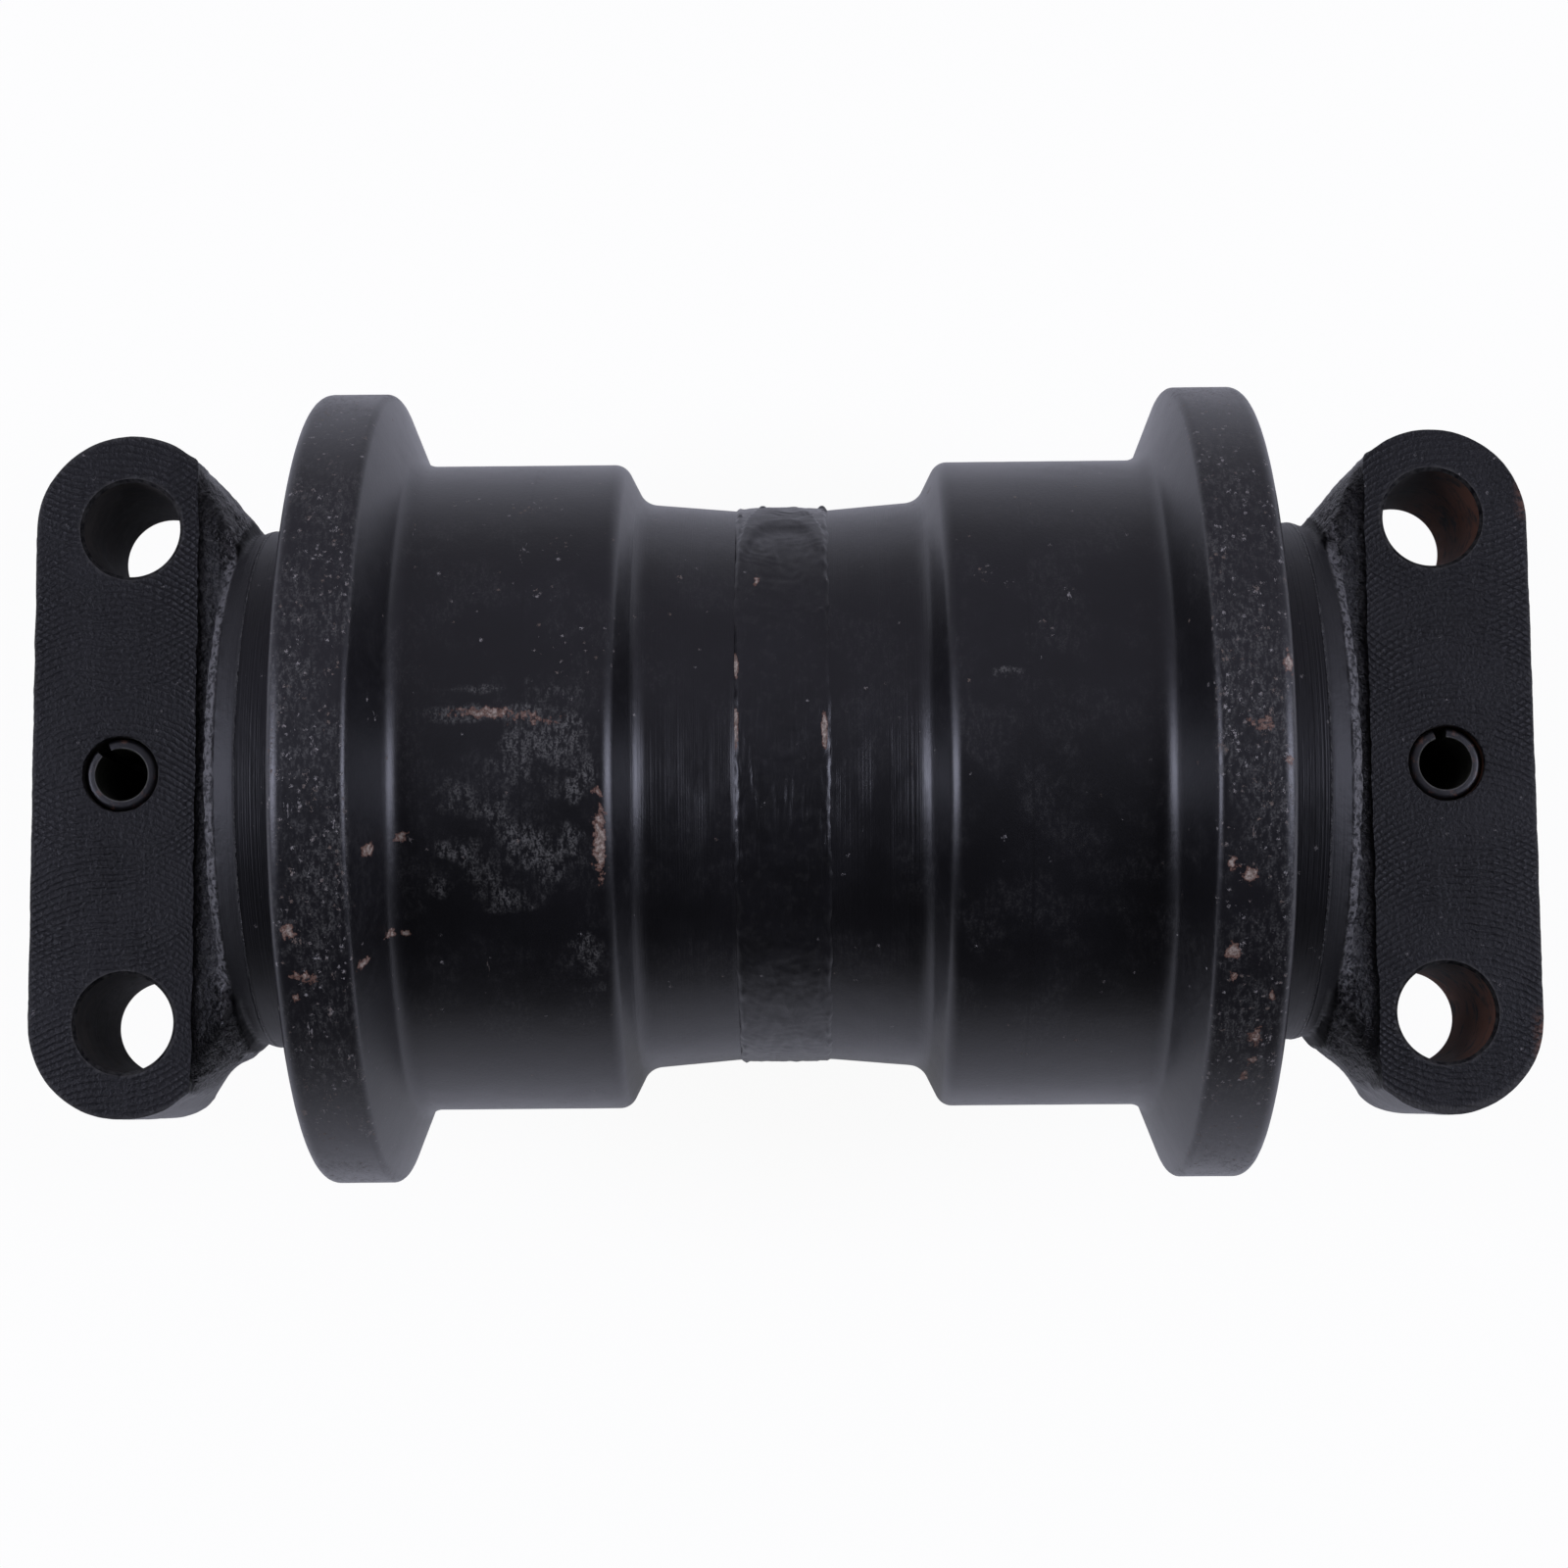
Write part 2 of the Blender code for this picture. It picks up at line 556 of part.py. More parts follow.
def build():
    clear_scene()
    fixed = empty("fixed_side")
    rolling = empty("rolling_side")
    shared = {
        "roller_half": (shell_half(), PAINT, rolling),
        "bush": (bush(), BRONZE, rolling),
        "rolling_seal_ring": (seal_ring(-1), SEAL_IRON, rolling),
        "rolling_toric_ring": (toric_ring(-1), RUBBER, rolling),
        "fixed_seal_ring": (seal_ring(1), SEAL_IRON, fixed),
        "fixed_toric_ring": (toric_ring(1), RUBBER, fixed),
        "shaft_o_ring": (shaft_o_ring(), RUBBER, fixed),
        "collar": (mesh_alone(collar()), PAINT, fixed),
    }
    for side, turn in SIDES.items():
        for name, (mesh, spec, parent) in shared.items():
            finish(piece(f"{name}_{side}", mesh), spec, parent, turn)
        pin = piece(f"spring_pin_{side}", spring_pin())
        pin.location.y = PIN_Y if side == "right" else -PIN_Y
        finish(pin, PIN_STEEL, fixed, PIN_SLOT_TURN[side])
    finish(piece("weld_bead", weld_bead()), WELD_PAINT, rolling)
    finish(shaft(), SHAFT_STEEL, fixed)
    finish(oil_plug(), PLUG_STEEL, fixed)


build()
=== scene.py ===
import math

import bmesh
import bpy
import numpy as np
from mathutils import Matrix, Vector, noise


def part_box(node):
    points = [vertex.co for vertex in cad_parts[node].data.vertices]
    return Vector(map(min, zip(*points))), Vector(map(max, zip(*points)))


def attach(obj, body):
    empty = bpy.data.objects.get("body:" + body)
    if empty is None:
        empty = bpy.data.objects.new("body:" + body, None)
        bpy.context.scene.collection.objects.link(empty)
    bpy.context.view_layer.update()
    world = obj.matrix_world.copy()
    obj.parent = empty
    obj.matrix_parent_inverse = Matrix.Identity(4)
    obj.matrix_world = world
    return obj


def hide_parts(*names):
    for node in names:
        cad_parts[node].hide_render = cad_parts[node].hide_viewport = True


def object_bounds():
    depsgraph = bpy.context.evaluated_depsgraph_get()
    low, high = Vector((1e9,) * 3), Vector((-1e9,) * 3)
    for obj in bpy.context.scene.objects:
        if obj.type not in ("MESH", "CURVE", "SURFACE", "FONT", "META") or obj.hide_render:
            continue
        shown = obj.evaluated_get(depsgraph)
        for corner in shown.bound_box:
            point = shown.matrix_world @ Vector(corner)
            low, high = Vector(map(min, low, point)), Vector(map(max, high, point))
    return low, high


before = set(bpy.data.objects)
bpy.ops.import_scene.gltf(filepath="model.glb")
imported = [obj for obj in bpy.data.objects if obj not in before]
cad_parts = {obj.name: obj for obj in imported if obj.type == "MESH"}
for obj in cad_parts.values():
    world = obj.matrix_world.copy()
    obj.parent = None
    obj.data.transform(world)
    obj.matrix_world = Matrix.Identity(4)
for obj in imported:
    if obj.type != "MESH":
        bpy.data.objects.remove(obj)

CAD_BOX = [list(corner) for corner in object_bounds()]
MM = 0.001

# Places taken from the frame
SHELL_LOW, SHELL_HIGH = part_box("roller_half_right")
_, COLLAR_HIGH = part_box("collar_right")
PIN_LOW, PIN_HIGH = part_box("spring_pin_right")
FLANGE_RADIUS = SHELL_HIGH[0]
SHELL_END_Y = SHELL_HIGH[1]
ROOT_Y = SHELL_LOW[1]
OUTER_Y = COLLAR_HIGH[1]
EAR_REACH_X = COLLAR_HIGH[0]
NECK_RADIUS = COLLAR_HIGH[2]
PIN_Y = (PIN_LOW[1] + PIN_HIGH[1]) / 2
PIN_TOP_Z = PIN_HIGH[2]
PIN_FOOT_Z = PIN_LOW[2]
COATED_Y = PIN_Y - 8.2 * MM  # the shaft is painted from here outwards
FLOOR_Z = CAD_BOX[0][2]

# The left pieces are the right ones turned round
HALF_TURN = Matrix.Rotation(math.pi, 4, "Z")
SIDES = ("left", "right")

# Shell outline, from the weld to the end
WELD_ROOT = 44.1 * MM
WELD_TOP = 51.8 * MM
WELD_HALF = 8.2 * MM
WAIST_RADIUS = 53.3 * MM
STEP_FOOT_Y = 25.5 * MM
TREAD_START_Y = 29.2 * MM
TREAD_RADIUS = 60.7 * MM
TREAD_END_Y = 66.8 * MM
FLANGE_INNER_Y = 72.2 * MM
STEP_FILLET = 4.0 * MM
TREAD_ROUND = 3.0 * MM
FLANGE_FILLET = 3.4 * MM
FLANGE_INNER_ROUND = 1.6 * MM
FLANGE_OUTER_ROUND = 2.4 * MM
RECESS_RADIUS = 49.6 * MM
RECESS_Y = 77.4 * MM
SEAL_SEAT = 41.3 * MM
SHELL_SEAL_Y = 67.9 * MM
BUSH_SEAT = 25.5 * MM
OIL_CAVITY_Y = 31.2 * MM
OIL_CAVITY = 30.5 * MM

# Collar
PAD_Z = 28.5 * MM
CHANNEL_Z = 27.0 * MM
PAD_INNER_Y = 106.2 * MM
EAR_BOTTOM_Z = -8.5 * MM
EAR_RADIUS = 17.2 * MM
BOLT_HOLE_RADIUS = 8.75 * MM
SPOT_FACE_RADIUS = 14.75 * MM
SPOT_FACE_Z = -7.5 * MM
COLLAR_BORE = 21.3 * MM
BOSS_RADIUS = 29.5 * MM
COLLAR_Y = 78.0 * MM
COLLAR_SEAL_Y = 87.5 * MM
NECK_END_Y = 95.0 * MM
DISC_EDGE_Y = 100.0 * MM
DISC_BACK_Y = 102.2 * MM
CONE_DROP = 1.6 * MM
HUB_RADIUS = 38.8 * MM
HUB_END_Y = 134.2 * MM
PIN_RADIUS = 6.5 * MM
PIN_BORE = 4.7 * MM
PIN_SLOT = 2.6 * MM
PIN_HOLE = 6.8 * MM
BOLT_X = EAR_REACH_X - EAR_RADIUS
BOLT_Y = OUTER_Y - EAR_RADIUS

# Mesh density
SHELL_STEPS = 432
SHELL_SPACING = 1.0 * MM
FILLET_STEPS = 8
SHARP_ANGLE = math.radians(38)
SAME_POINT = 0.0001 * MM
VOXEL = 0.7 * MM


def new_object(name, data):
    item = bpy.data.objects.new(name, data)
    bpy.context.scene.collection.objects.link(item)
    return item


def mesh_from(bm, name):
    bmesh.ops.recalc_face_normals(bm, faces=bm.faces)
    mesh = bpy.data.meshes.new(name)
    bm.to_mesh(mesh)
    bm.free()
    return mesh


# Shapes

def rounded(corners, steps=FILLET_STEPS):
    """The open outline through (y, radius, fillet) corners, with an arc at each corner that has a fillet."""
    outline = []
    last = len(corners) - 1
    for index, (y, radius, fillet) in enumerate(corners):
        corner = Vector((y, radius))
        if fillet == 0 or index in (0, last):
            outline.append(corner)
            continue
        before = Vector(corners[index - 1][:2]) - corner
        after = Vector(corners[index + 1][:2]) - corner
        half = before.angle(after) / 2
        reach = fillet / math.tan(half)
        start = corner + before.normalized() * reach
        end = corner + after.normalized() * reach
        middle = corner + (before.normalized() + after.normalized()).normalized() * fillet / math.sin(half)
        sweep = (start - middle).angle_signed(end - middle)
        for step in range(steps + 1):
            outline.append(middle + Matrix.Rotation(-sweep * step / steps, 2) @ (start - middle))
    return outline


def subdivided(outline, spacing):
    """The outline with no two neighbours further apart than the spacing."""
    points = [outline[0]]
    for before, after in zip(outline, outline[1:]):
        count = max(1, math.ceil((after - before).length / spacing))
        points += [before.lerp(after, step / count) for step in range(1, count + 1)]
    return points


def ring_mesh(name, verts, steps, row):
    """A closed and smooth mesh over points that stand in equal rows round the axis."""
    faces = []
    for step in range(steps):
        here = step * row
        there = (step + 1) % steps * row
        for index in range(row):
            follow = (index + 1) % row
            faces.append((here + index, here + follow, there + follow, there + index))
    mesh = bpy.data.meshes.new(name)
    mesh.from_pydata(verts, [], faces)
    bm = bmesh.new()
    bm.from_mesh(mesh)
    bmesh.ops.recalc_face_normals(bm, faces=bm.faces)
    bm.to_mesh(mesh)
    bm.free()
    mesh.shade_smooth()
    return mesh


def spun(name, points, steps, shift):
    """A closed (y, radius) outline spun about Y. shift(index, angle) moves a point along its normal."""
    count = len(points)
    normals = []
    for index in range(count):
        along = points[(index + 1) % count] - points[index - 1]
        normals.append(Vector((-along.y, along.x)).normalized())
    verts = []
    for step in range(steps):
        angle = math.tau * step / steps
        sine = math.sin(angle)
        cosine = math.cos(angle)
        for index, point in enumerate(points):
            at = point + normals[index] * shift(index, angle)
            verts.append((at.y * sine, at.x, at.y * cosine))
    mesh = ring_mesh(name, verts, steps, count)
    mesh.set_sharp_from_angle(angle=SHARP_ANGLE)
    return mesh


# Marks on the rolling side, in mm and degrees:
# (y, angle from the top, half width, half length round, strength)
SCUFFS = [
    (-51.1, -5.9, 11.7, 1.6, 1.0), (-52.9, -10.0, 7.5, 1.0, 0.6), (-41.9, 0.1, 10.0, 7.5, 0.75),
    (-52.7, 7.3, 7.0, 4.7, 0.6), (-44.6, 16.9, 12.5, 6.6, 0.75), (-55.9, 16.2, 5.7, 2.0, 0.8),
    (-35.3, 4.0, 4.3, 5.0, 0.6), (-33.7, 36.5, 4.4, 5.9, 0.7), (-46.9, 23.9, 6.7, 3.2, 0.6),
    (-58.1, 21.3, 3.3, 3.2, 0.6), (-39.5, -10.4, 8.3, 4.3, 0.4), (38.9, -12.1, 3.7, 1.0, 0.7),
    (49.5, -4.0, 5.0, 5.0, 0.3),
]
FLECKED = [
    (-46.2, -49.3, 4.0, 2.2, 1.0), (-38.8, -37.6, 2.2, 2.2, 1.0), (-40.5, -27.0, 3.0, 1.5, 0.6),
    (-31.0, -41.0, 1.5, 1.5, 0.8), (-36.0, -16.0, 5.0, 3.0, 0.6), (36.0, -30.0, 2.5, 2.0, 0.7),
    (47.0, -20.0, 3.0, 2.0, 0.6),
]
BARE = [
    (-82.2, 24.7, 1.2, 1.5, 1.0), (-80.0, 31.0, 2.9, 1.7, 0.65), (-82.1, 34.2, 1.3, 1.2, 0.6),
    (-69.4, 14.8, 1.0, 1.2, 0.9), (-64.8, 13.8, 1.5, 1.0, 0.9), (-70.6, 30.8, 1.0, 1.1, 0.8),
    (-66.9, 29.8, 1.1, 1.0, 0.8), (-64.6, 30.1, 1.0, 1.0, 0.8), (-50.0, -6.1, 9.5, 1.3, 0.66),
    (-41.5, -4.6, 6.0, 1.0, 0.55), (-31.0, 15.4, 1.3, 7.6, 0.80), (-31.3, 6.9, 1.0, 1.0, 0.8),
    (84.1, -9.4, 1.0, 2.0, 0.9), (80.0, -1.3, 3.5, 2.1, 0.55), (83.8, 3.6, 1.0, 1.0, 0.8),
    (74.4, 16.5, 1.0, 1.3, 0.8), (77.3, 18.1, 1.5, 1.3, 1.0), (75.0, 28.4, 1.3, 1.5, 1.0),
    (75.1, 32.2, 1.0, 1.2, 0.8), (81.8, 35.1, 1.0, 1.4, 0.7), (79.8, 41.8, 1.2, 2.9, 0.8),
    (79.6, 45.9, 1.0, 1.4, 0.8), (78.8, 48.9, 1.0, 1.5, 0.7),
]
WELD_BARE = [
    (-7.9, -17.4, 0.5, 2.8, 1.0), (-7.9, -5.1, 0.5, 4.3, 1.0), (7.4, -4.2, 0.6, 3.4, 1.0),
    (-4.3, -38.3, 0.7, 2.0, 0.7),
]


def add_marks(mesh, name, marks):
    """Stores on each point how strongly the nearest mark reaches it."""
    places = np.empty(len(mesh.vertices) * 3)
    mesh.vertices.foreach_get("co", places)
    places = places.reshape(-1, 3) / MM
    angle = np.degrees(np.arctan2(places[:, 0], places[:, 2]))
    radius = np.hypot(places[:, 0], places[:, 2])
    total = np.zeros(len(places))
    for y, turn, width, length, strength in marks:
        arc = np.radians((angle - turn + 180) % 360 - 180) * radius
        reach = ((places[:, 1] - y) / width) ** 2 + (arc / length) ** 2
        total = np.maximum(total, strength * np.exp(-reach))
    attribute = mesh.attributes.new(name, "FLOAT", "POINT")
    attribute.data.foreach_set("value", total.astype(np.float32))


# The forging's unevenness, as (noise scale, height in mm)
SHELL_UNEVEN = ((0.03, 0.05), (0.25, 0.018))
SHELL_SEED = {"left": Vector((31.7, 12.9, 5.3)), "right": Vector((0, 0, 0))}


def shell_piece(side):
    """One half of the shell, turned finely, with the small unevenness of a forging that was painted."""
    outer = rounded([
        (WELD_HALF, WELD_TOP, 0),
        (STEP_FOOT_Y, WAIST_RADIUS, STEP_FILLET),
        (TREAD_START_Y, TREAD_RADIUS, TREAD_ROUND),
        (TREAD_END_Y, TREAD_RADIUS, FLANGE_FILLET),
        (FLANGE_INNER_Y, FLANGE_RADIUS, FLANGE_INNER_ROUND),
        (SHELL_END_Y, FLANGE_RADIUS, FLANGE_OUTER_ROUND),
        (SHELL_END_Y, RECESS_RADIUS, 0),
    ])
    outer = subdivided(outer, SHELL_SPACING)
    inner = [Vector(point) for point in (
        (RECESS_Y, RECESS_RADIUS),
        (RECESS_Y, SEAL_SEAT),
        (SHELL_SEAL_Y, SEAL_SEAT),
        (SHELL_SEAL_Y, BUSH_SEAT),
        (OIL_CAVITY_Y, BUSH_SEAT),
        (OIL_CAVITY_Y, OIL_CAVITY),
        (ROOT_Y, OIL_CAVITY),
        (ROOT_Y, WELD_ROOT),
    )]
    points = outer + inner
    seed = SHELL_SEED[side]

    def shift(index, angle):
        if index == 0 or index >= len(outer) - 1:
            return 0.0
        at = points[index]
        place = Vector((at.y * math.sin(angle), at.x, at.y * math.cos(angle))) / MM
        return sum(noise.noise(place * scale + seed) * height for scale, height in SHELL_UNEVEN) * MM

    mesh = spun("shell_" + side, points, SHELL_STEPS, shift)
    item = new_object("shell_" + side, mesh)
    if side == "left":
        mesh.transform(HALF_TURN)
    for name, marks in (("scuff", SCUFFS), ("flecked", FLECKED), ("bare", BARE)):
        add_marks(mesh, name, marks)
    return item


# The weld's mesh, body and toes
WELD_STEPS = 720
WELD_COLUMNS = 56
WELD_INNER = WELD_ROOT + 0.6 * MM
WELD_SLOPE = (WAIST_RADIUS - WELD_TOP) / (STEP_FOOT_Y - WELD_HALF)
WELD_TOE_LEFT = -8.8 * MM
WELD_TOE_RIGHT = 9.1 * MM
WELD_CROWN = 0.30 * MM
WELD_DIP = 0.55 * MM
TOE_SEED = 9.0
TOE_WANDER = ((0.12, 0.55 * MM), (0.5, 0.22 * MM))  # (noise scale, size)
TOE_RIDGE = 0.28 * MM
TOE_RIDGE_AT = 0.86
TOE_RIDGE_WIDTH = 0.05
TOE_RIDGE_SCALE = 0.3
TOE_RIDGE_BIAS = 0.6

# Its ripples, wrinkles and roughness
RIPPLE_PITCH = 2.1 * MM
RIPPLE_HEIGHT = 0.06 * MM
RIPPLE_AT_STOP = 0.12 * MM
RIPPLE_BOW = 5.0 * MM
RIPPLE_DRIFT = 2.5
RIPPLE_DRIFT_SCALE = 0.09
RIPPLE_WAVER = 1.1
RIPPLE_WAVER_SCALE = Vector((0.3, 0.25, 0.3))
RIPPLE_PATCH_SCALE = 0.25
RIPPLE_PATCH_ACROSS = 0.2
RIPPLE_PATCH_BIAS = 0.35
WRINKLE_HEIGHT = 0.24 * MM
WRINKLE_SCALE = Vector((0.10, 0.55, 0.10))
WRINKLE_LEAN = Vector((1.7, 0, 1.7))
WRINKLE_LOST_AT_STOP = 0.8
WELD_ROUGH = ((0.22, 0.10 * MM), (0.7, 0.04 * MM))  # (noise scale, height)
ROUGH_LOST_AT_STOP = 0.4

# Its raised stop, the low start before it, and spatter as (y, angle, size) in mm and degrees
STOP_ANGLE = math.radians(-70)
STOP_ARCH = math.radians(34)
STOP_EDGE = math.radians(1.8)
STOP_FADE = math.radians(-30)
STOP_HEIGHT = 1.15 * MM
STOP_RIM = math.radians(10.5)
CRATER_EDGE = math.radians(6.0)
CRATER_DEPTH = 0.62
START_HEIGHT = 0.25 * MM
START_ANGLE = math.radians(-96)
SPATTER = [(-3.4, -77, 0.5), (7.8, -79, 0.6), (8.3, -74, 0.4), (-7.6, -66, 0.35), (6.9, -30, 0.3)]
SPATTER_SPREAD = 1.3


def smooth(value, low, high):
    """0 below low and 1 above high, with a smooth rise between."""
    share = min(1.0, max(0.0, (value - low) / (high - low)))
    return share * share * (3 - 2 * share)


def weld_stop(angle, across):
    """The weld's raised stop at a point, its crater's depth, and the reach of the start before it."""
    start = STOP_ANGLE + STOP_ARCH * across ** 4
    raised = smooth(angle, start - STOP_EDGE / 2, start + STOP_EDGE / 2)
    raised *= 1 - smooth(angle, STOP_ANGLE + STOP_EDGE, STOP_FADE)
    crater = CRATER_DEPTH * smooth(angle, start + STOP_RIM, start + STOP_RIM + CRATER_EDGE)
    before = 1 - smooth(angle, start - STOP_EDGE, start)
    before *= smooth(angle, START_ANGLE - STOP_ARCH, START_ANGLE)
    return raised, crater, before


def weld_ripple(angle, turn, across, y, raised):
    """The height of the weld's ripples at a point, patchy and stronger on the stop."""
    place = Vector((turn.x, y / MM, turn.y))
    uneven = noise.noise(turn * RIPPLE_DRIFT_SCALE) * RIPPLE_DRIFT
    uneven += noise.noise(place * RIPPLE_WAVER_SCALE) * RIPPLE_WAVER
    phase = (angle * WELD_TOP + RIPPLE_BOW * across * across) / RIPPLE_PITCH + uneven
    patch = turn * RIPPLE_PATCH_SCALE + Vector((0, 0, y / MM * RIPPLE_PATCH_ACROSS))
    patchy = noise.noise(patch) + RIPPLE_PATCH_BIAS
    return (math.sin(math.tau * phase) * 0.5 + 0.5) * patchy * (RIPPLE_HEIGHT + RIPPLE_AT_STOP * raised)


def weld_rise(angle, turn, toe, across, y):
    """How far the weld's face stands above the waist at a point."""
    raised, crater, before = weld_stop(angle, across)
    place = Vector((turn.x, y / MM, turn.y))
    wrinkle = 0.5 - abs(noise.noise(place * WRINKLE_SCALE + WRINKLE_LEAN * abs(across)))
    wrinkle *= WRINKLE_HEIGHT * (1 - WRINKLE_LOST_AT_STOP * raised)
    rough = sum(noise.noise(place * scale) * height for scale, height in WELD_ROUGH)
    rough *= 1 - ROUGH_LOST_AT_STOP * raised
    face = WELD_CROWN + weld_ripple(angle, turn, across, y, raised) + rough + wrinkle
    ridge = TOE_RIDGE * math.exp(-((abs(across) - TOE_RIDGE_AT) / TOE_RIDGE_WIDTH) ** 2)
    ridge *= noise.noise(turn * TOE_RIDGE_SCALE + toe) + TOE_RIDGE_BIAS
    rise = face * (1 - across ** 6) + ridge - WELD_DIP * across ** 14
    rise += STOP_HEIGHT * raised * (1 - crater) * (1 - across ** 4)
    rise += START_HEIGHT * before * (1 - across ** 2)
    for spot_y, spot_angle, size in SPATTER:
        arc = (angle - math.radians(spot_angle)) * WELD_TOP / MM
        near = math.hypot(y / MM - spot_y, arc) / (SPATTER_SPREAD * size)
        rise += size * MM * math.exp(-near ** 4)
    return rise


def weld_piece():
    """The weld, with its ripples, wandering toes and the raised end where it stopped."""
    verts = []
    for step in range(WELD_STEPS):
        angle = math.tau * step / WELD_STEPS - math.pi
        sine = math.sin(angle)
        cosine = math.cos(angle)
        turn = Vector((sine, cosine, 0)) * WELD_TOP / MM
        for index in range(WELD_COLUMNS + 1):
            share = index / WELD_COLUMNS
            across = 2 * share - 1
            toe = Vector((0, 0, math.copysign(TOE_SEED, across)))
            wander = sum(noise.noise(turn * scale + toe) * size for scale, size in TOE_WANDER)
            y = WELD_TOE_LEFT + (WELD_TOE_RIGHT - WELD_TOE_LEFT) * share + wander * abs(across)
            radius = WELD_TOP + max(0, abs(y) - WELD_HALF) * WELD_SLOPE
            radius += weld_rise(angle, turn, toe, across, y)
            verts.append((radius * sine, y, radius * cosine))
        verts.append((WELD_INNER * sine, 0, WELD_INNER * cosine))
    mesh = ring_mesh("weld", verts, WELD_STEPS, WELD_COLUMNS + 2)
    add_marks(mesh, "bare", WELD_BARE)
    return new_object("weld", mesh)


def hull(bm, points):
    verts = [bm.verts.new(point) for point in points]
    made = bmesh.ops.convex_hull(bm, input=verts)
    loose = [v for v in made["geom_interior"] if isinstance(v, bmesh.types.BMVert)]
    bmesh.ops.delete(bm, geom=loose, context="VERTS")


def joined(bm, rings):
    """Joins each ring of points to the next, and gives the faces with their places round the ring."""
    faces = []
    for low, high in zip(rings, rings[1:]):
        for index in range(len(low)):
            follow = (index + 1) % len(low)
            faces.append((index, bm.faces.new((low[index], low[follow], high[follow], high[index]))))
    return faces


def lathe(bm, outline, axis="Y", centre=(0, 0, 0), steps=128):
    """Adds a closed (along, radius) outline, spun about an axis through centre, to a bmesh."""
    rings = []
    for step in range(steps):
        angle = math.tau * step / steps
        ring = []
        for along, radius in outline:
            a = radius * math.sin(angle)
            b = radius * math.cos(angle)
            at = Vector((a, along, b)) if axis == "Y" else Vector((a, b, along))
            ring.append(bm.verts.new(at + Vector(centre)))
        rings.append(ring)
    joined(bm, rings + rings[:1])
    bmesh.ops.remove_doubles(bm, verts=bm.verts, dist=SAME_POINT)


def bridged(bm, low, high):
    """Closes two matching loops of points into a solid."""
    bm.faces.new(low)
    bm.faces.new(high)
    joined(bm, (low, high))


def prism(bm, outline, low, high):
    """A closed (x, y) outline raised from z low to z high."""
    foot = [bm.verts.new((x, y, low)) for x, y in outline]
    top = [bm.verts.new((x, y, high)) for x, y in outline]
    bridged(bm, foot, top)


def box(bm, low, high):
    outline = [(low[0], low[1]), (high[0], low[1]), (high[0], high[1]), (low[0], high[1])]
    prism(bm, outline, low[2], high[2])


def evaluated(item):
    """Applies an object's modifiers."""
    graph = bpy.context.evaluated_depsgraph_get()
    mesh = bpy.data.meshes.new_from_object(item.evaluated_get(graph))
    item.modifiers.clear()
    old = item.data
    item.data = mesh
    bpy.data.meshes.remove(old)


# The casting before it is machined
MILL_STOCK = 2.0 * MM
TURN_STOCK = 0.7 * MM
CAST_CORE = 10 * MM
CAST_LEAD = 3 * MM
NECK_RUNOUT = 0.6 * MM
NECK_RISE = 0.1 * MM
DISC_BEVEL_IN = 0.6 * MM
DISC_BEVEL_OUT = 1.2 * MM
DISC_BEVEL_DROP = 1.8 * MM
HUB_START_Y = DISC_EDGE_Y - 6 * MM
HUB_TOP_Z = 20 * MM
HUB_STEPS = 40
EAR_ARC = (math.radians(90), math.radians(-30))
EAR_STEPS = 24
EAR_SHIFT = {"left": 0.0, "right": 0.9 * MM}

# An ear's flank from the pad to the neck, as (x, y) in mm, and how it is drawn in and rounded off
FLANK = [(58.3, 107.8), (57.5, 106.2), (56.4, 104.6), (53.0, 102.6), (49.7, 100.8), (48.9, 98.6)]
FLANK_TOP_Z = 10.0 * MM
FLANK_DRAFT = 3.7 * MM
FLANK_DRAFT_Y = 104.4 * MM
FLANK_DRAFT_REACH = 3.6 * MM
FLANK_DRAFT_TOP_Z = 14.0 * MM
FLANK_INNER_X = 36.0 * MM
FLANK_OUTER_X = 44.0 * MM
FLANK_ROUND_X = 40.0 * MM
FLANK_ROUND_Y = (98.5 * MM, 108.6 * MM)
FLANK_ROUND_Z = 19.0 * MM
FLANK_ROUNDING = 34
FLANK_CALM = 0.55

# The gusset between disc and ear. Its corners beside the flank are (x, y, drop below its top) in mm
GUSSET_TOP_Z = 27.4 * MM
GUSSET_INNER_X = 30 * MM
GUSSET_OUTER_X = 58 * MM
GUSSET_FOOT_Y = 97 * MM
GUSSET_TOP_Y = 99 * MM
GUSSET_END_Y = 112 * MM
GUSSET_CORNERS = [(55.5, 105.8, 2.0), (54.0, 106.8, 0.0), (41.5, 99.0, 1.5)]

# The casting's skin
CAST_SEED = {"left": Vector((21.4, 2.9, 14.6)), "right": Vector((3.1, 8.2, 1.7))}
CAST_SMOOTHING = 6
CAST_LUMPS = 0.30 * MM
LUMP_SCALE = 0.16
CAST_ROUGHNESS = 0.18 * MM
ROUGH_SCALE = 0.55
ROUGH_FRACTAL = (0.8, 2.2, 3)
CAST_GRAIN = 0.20 * MM
GRAIN_SCALE = 0.95
NECK_CALM_Y = (DISC_EDGE_Y - 2.0 * MM, DISC_EDGE_Y - 0.2 * MM)
EAR_CALM_Y = (PAD_INNER_Y, PAD_INNER_Y + 3 * MM)
LUMPS_LOST_ON_EAR = 0.6
GRAIN_LOST_ON_EAR = 0.7
RIM_Y = DISC_EDGE_Y + 0.4 * MM
RIM_WIDTH = 1.0 * MM
RIM_GRAIN = 0.8


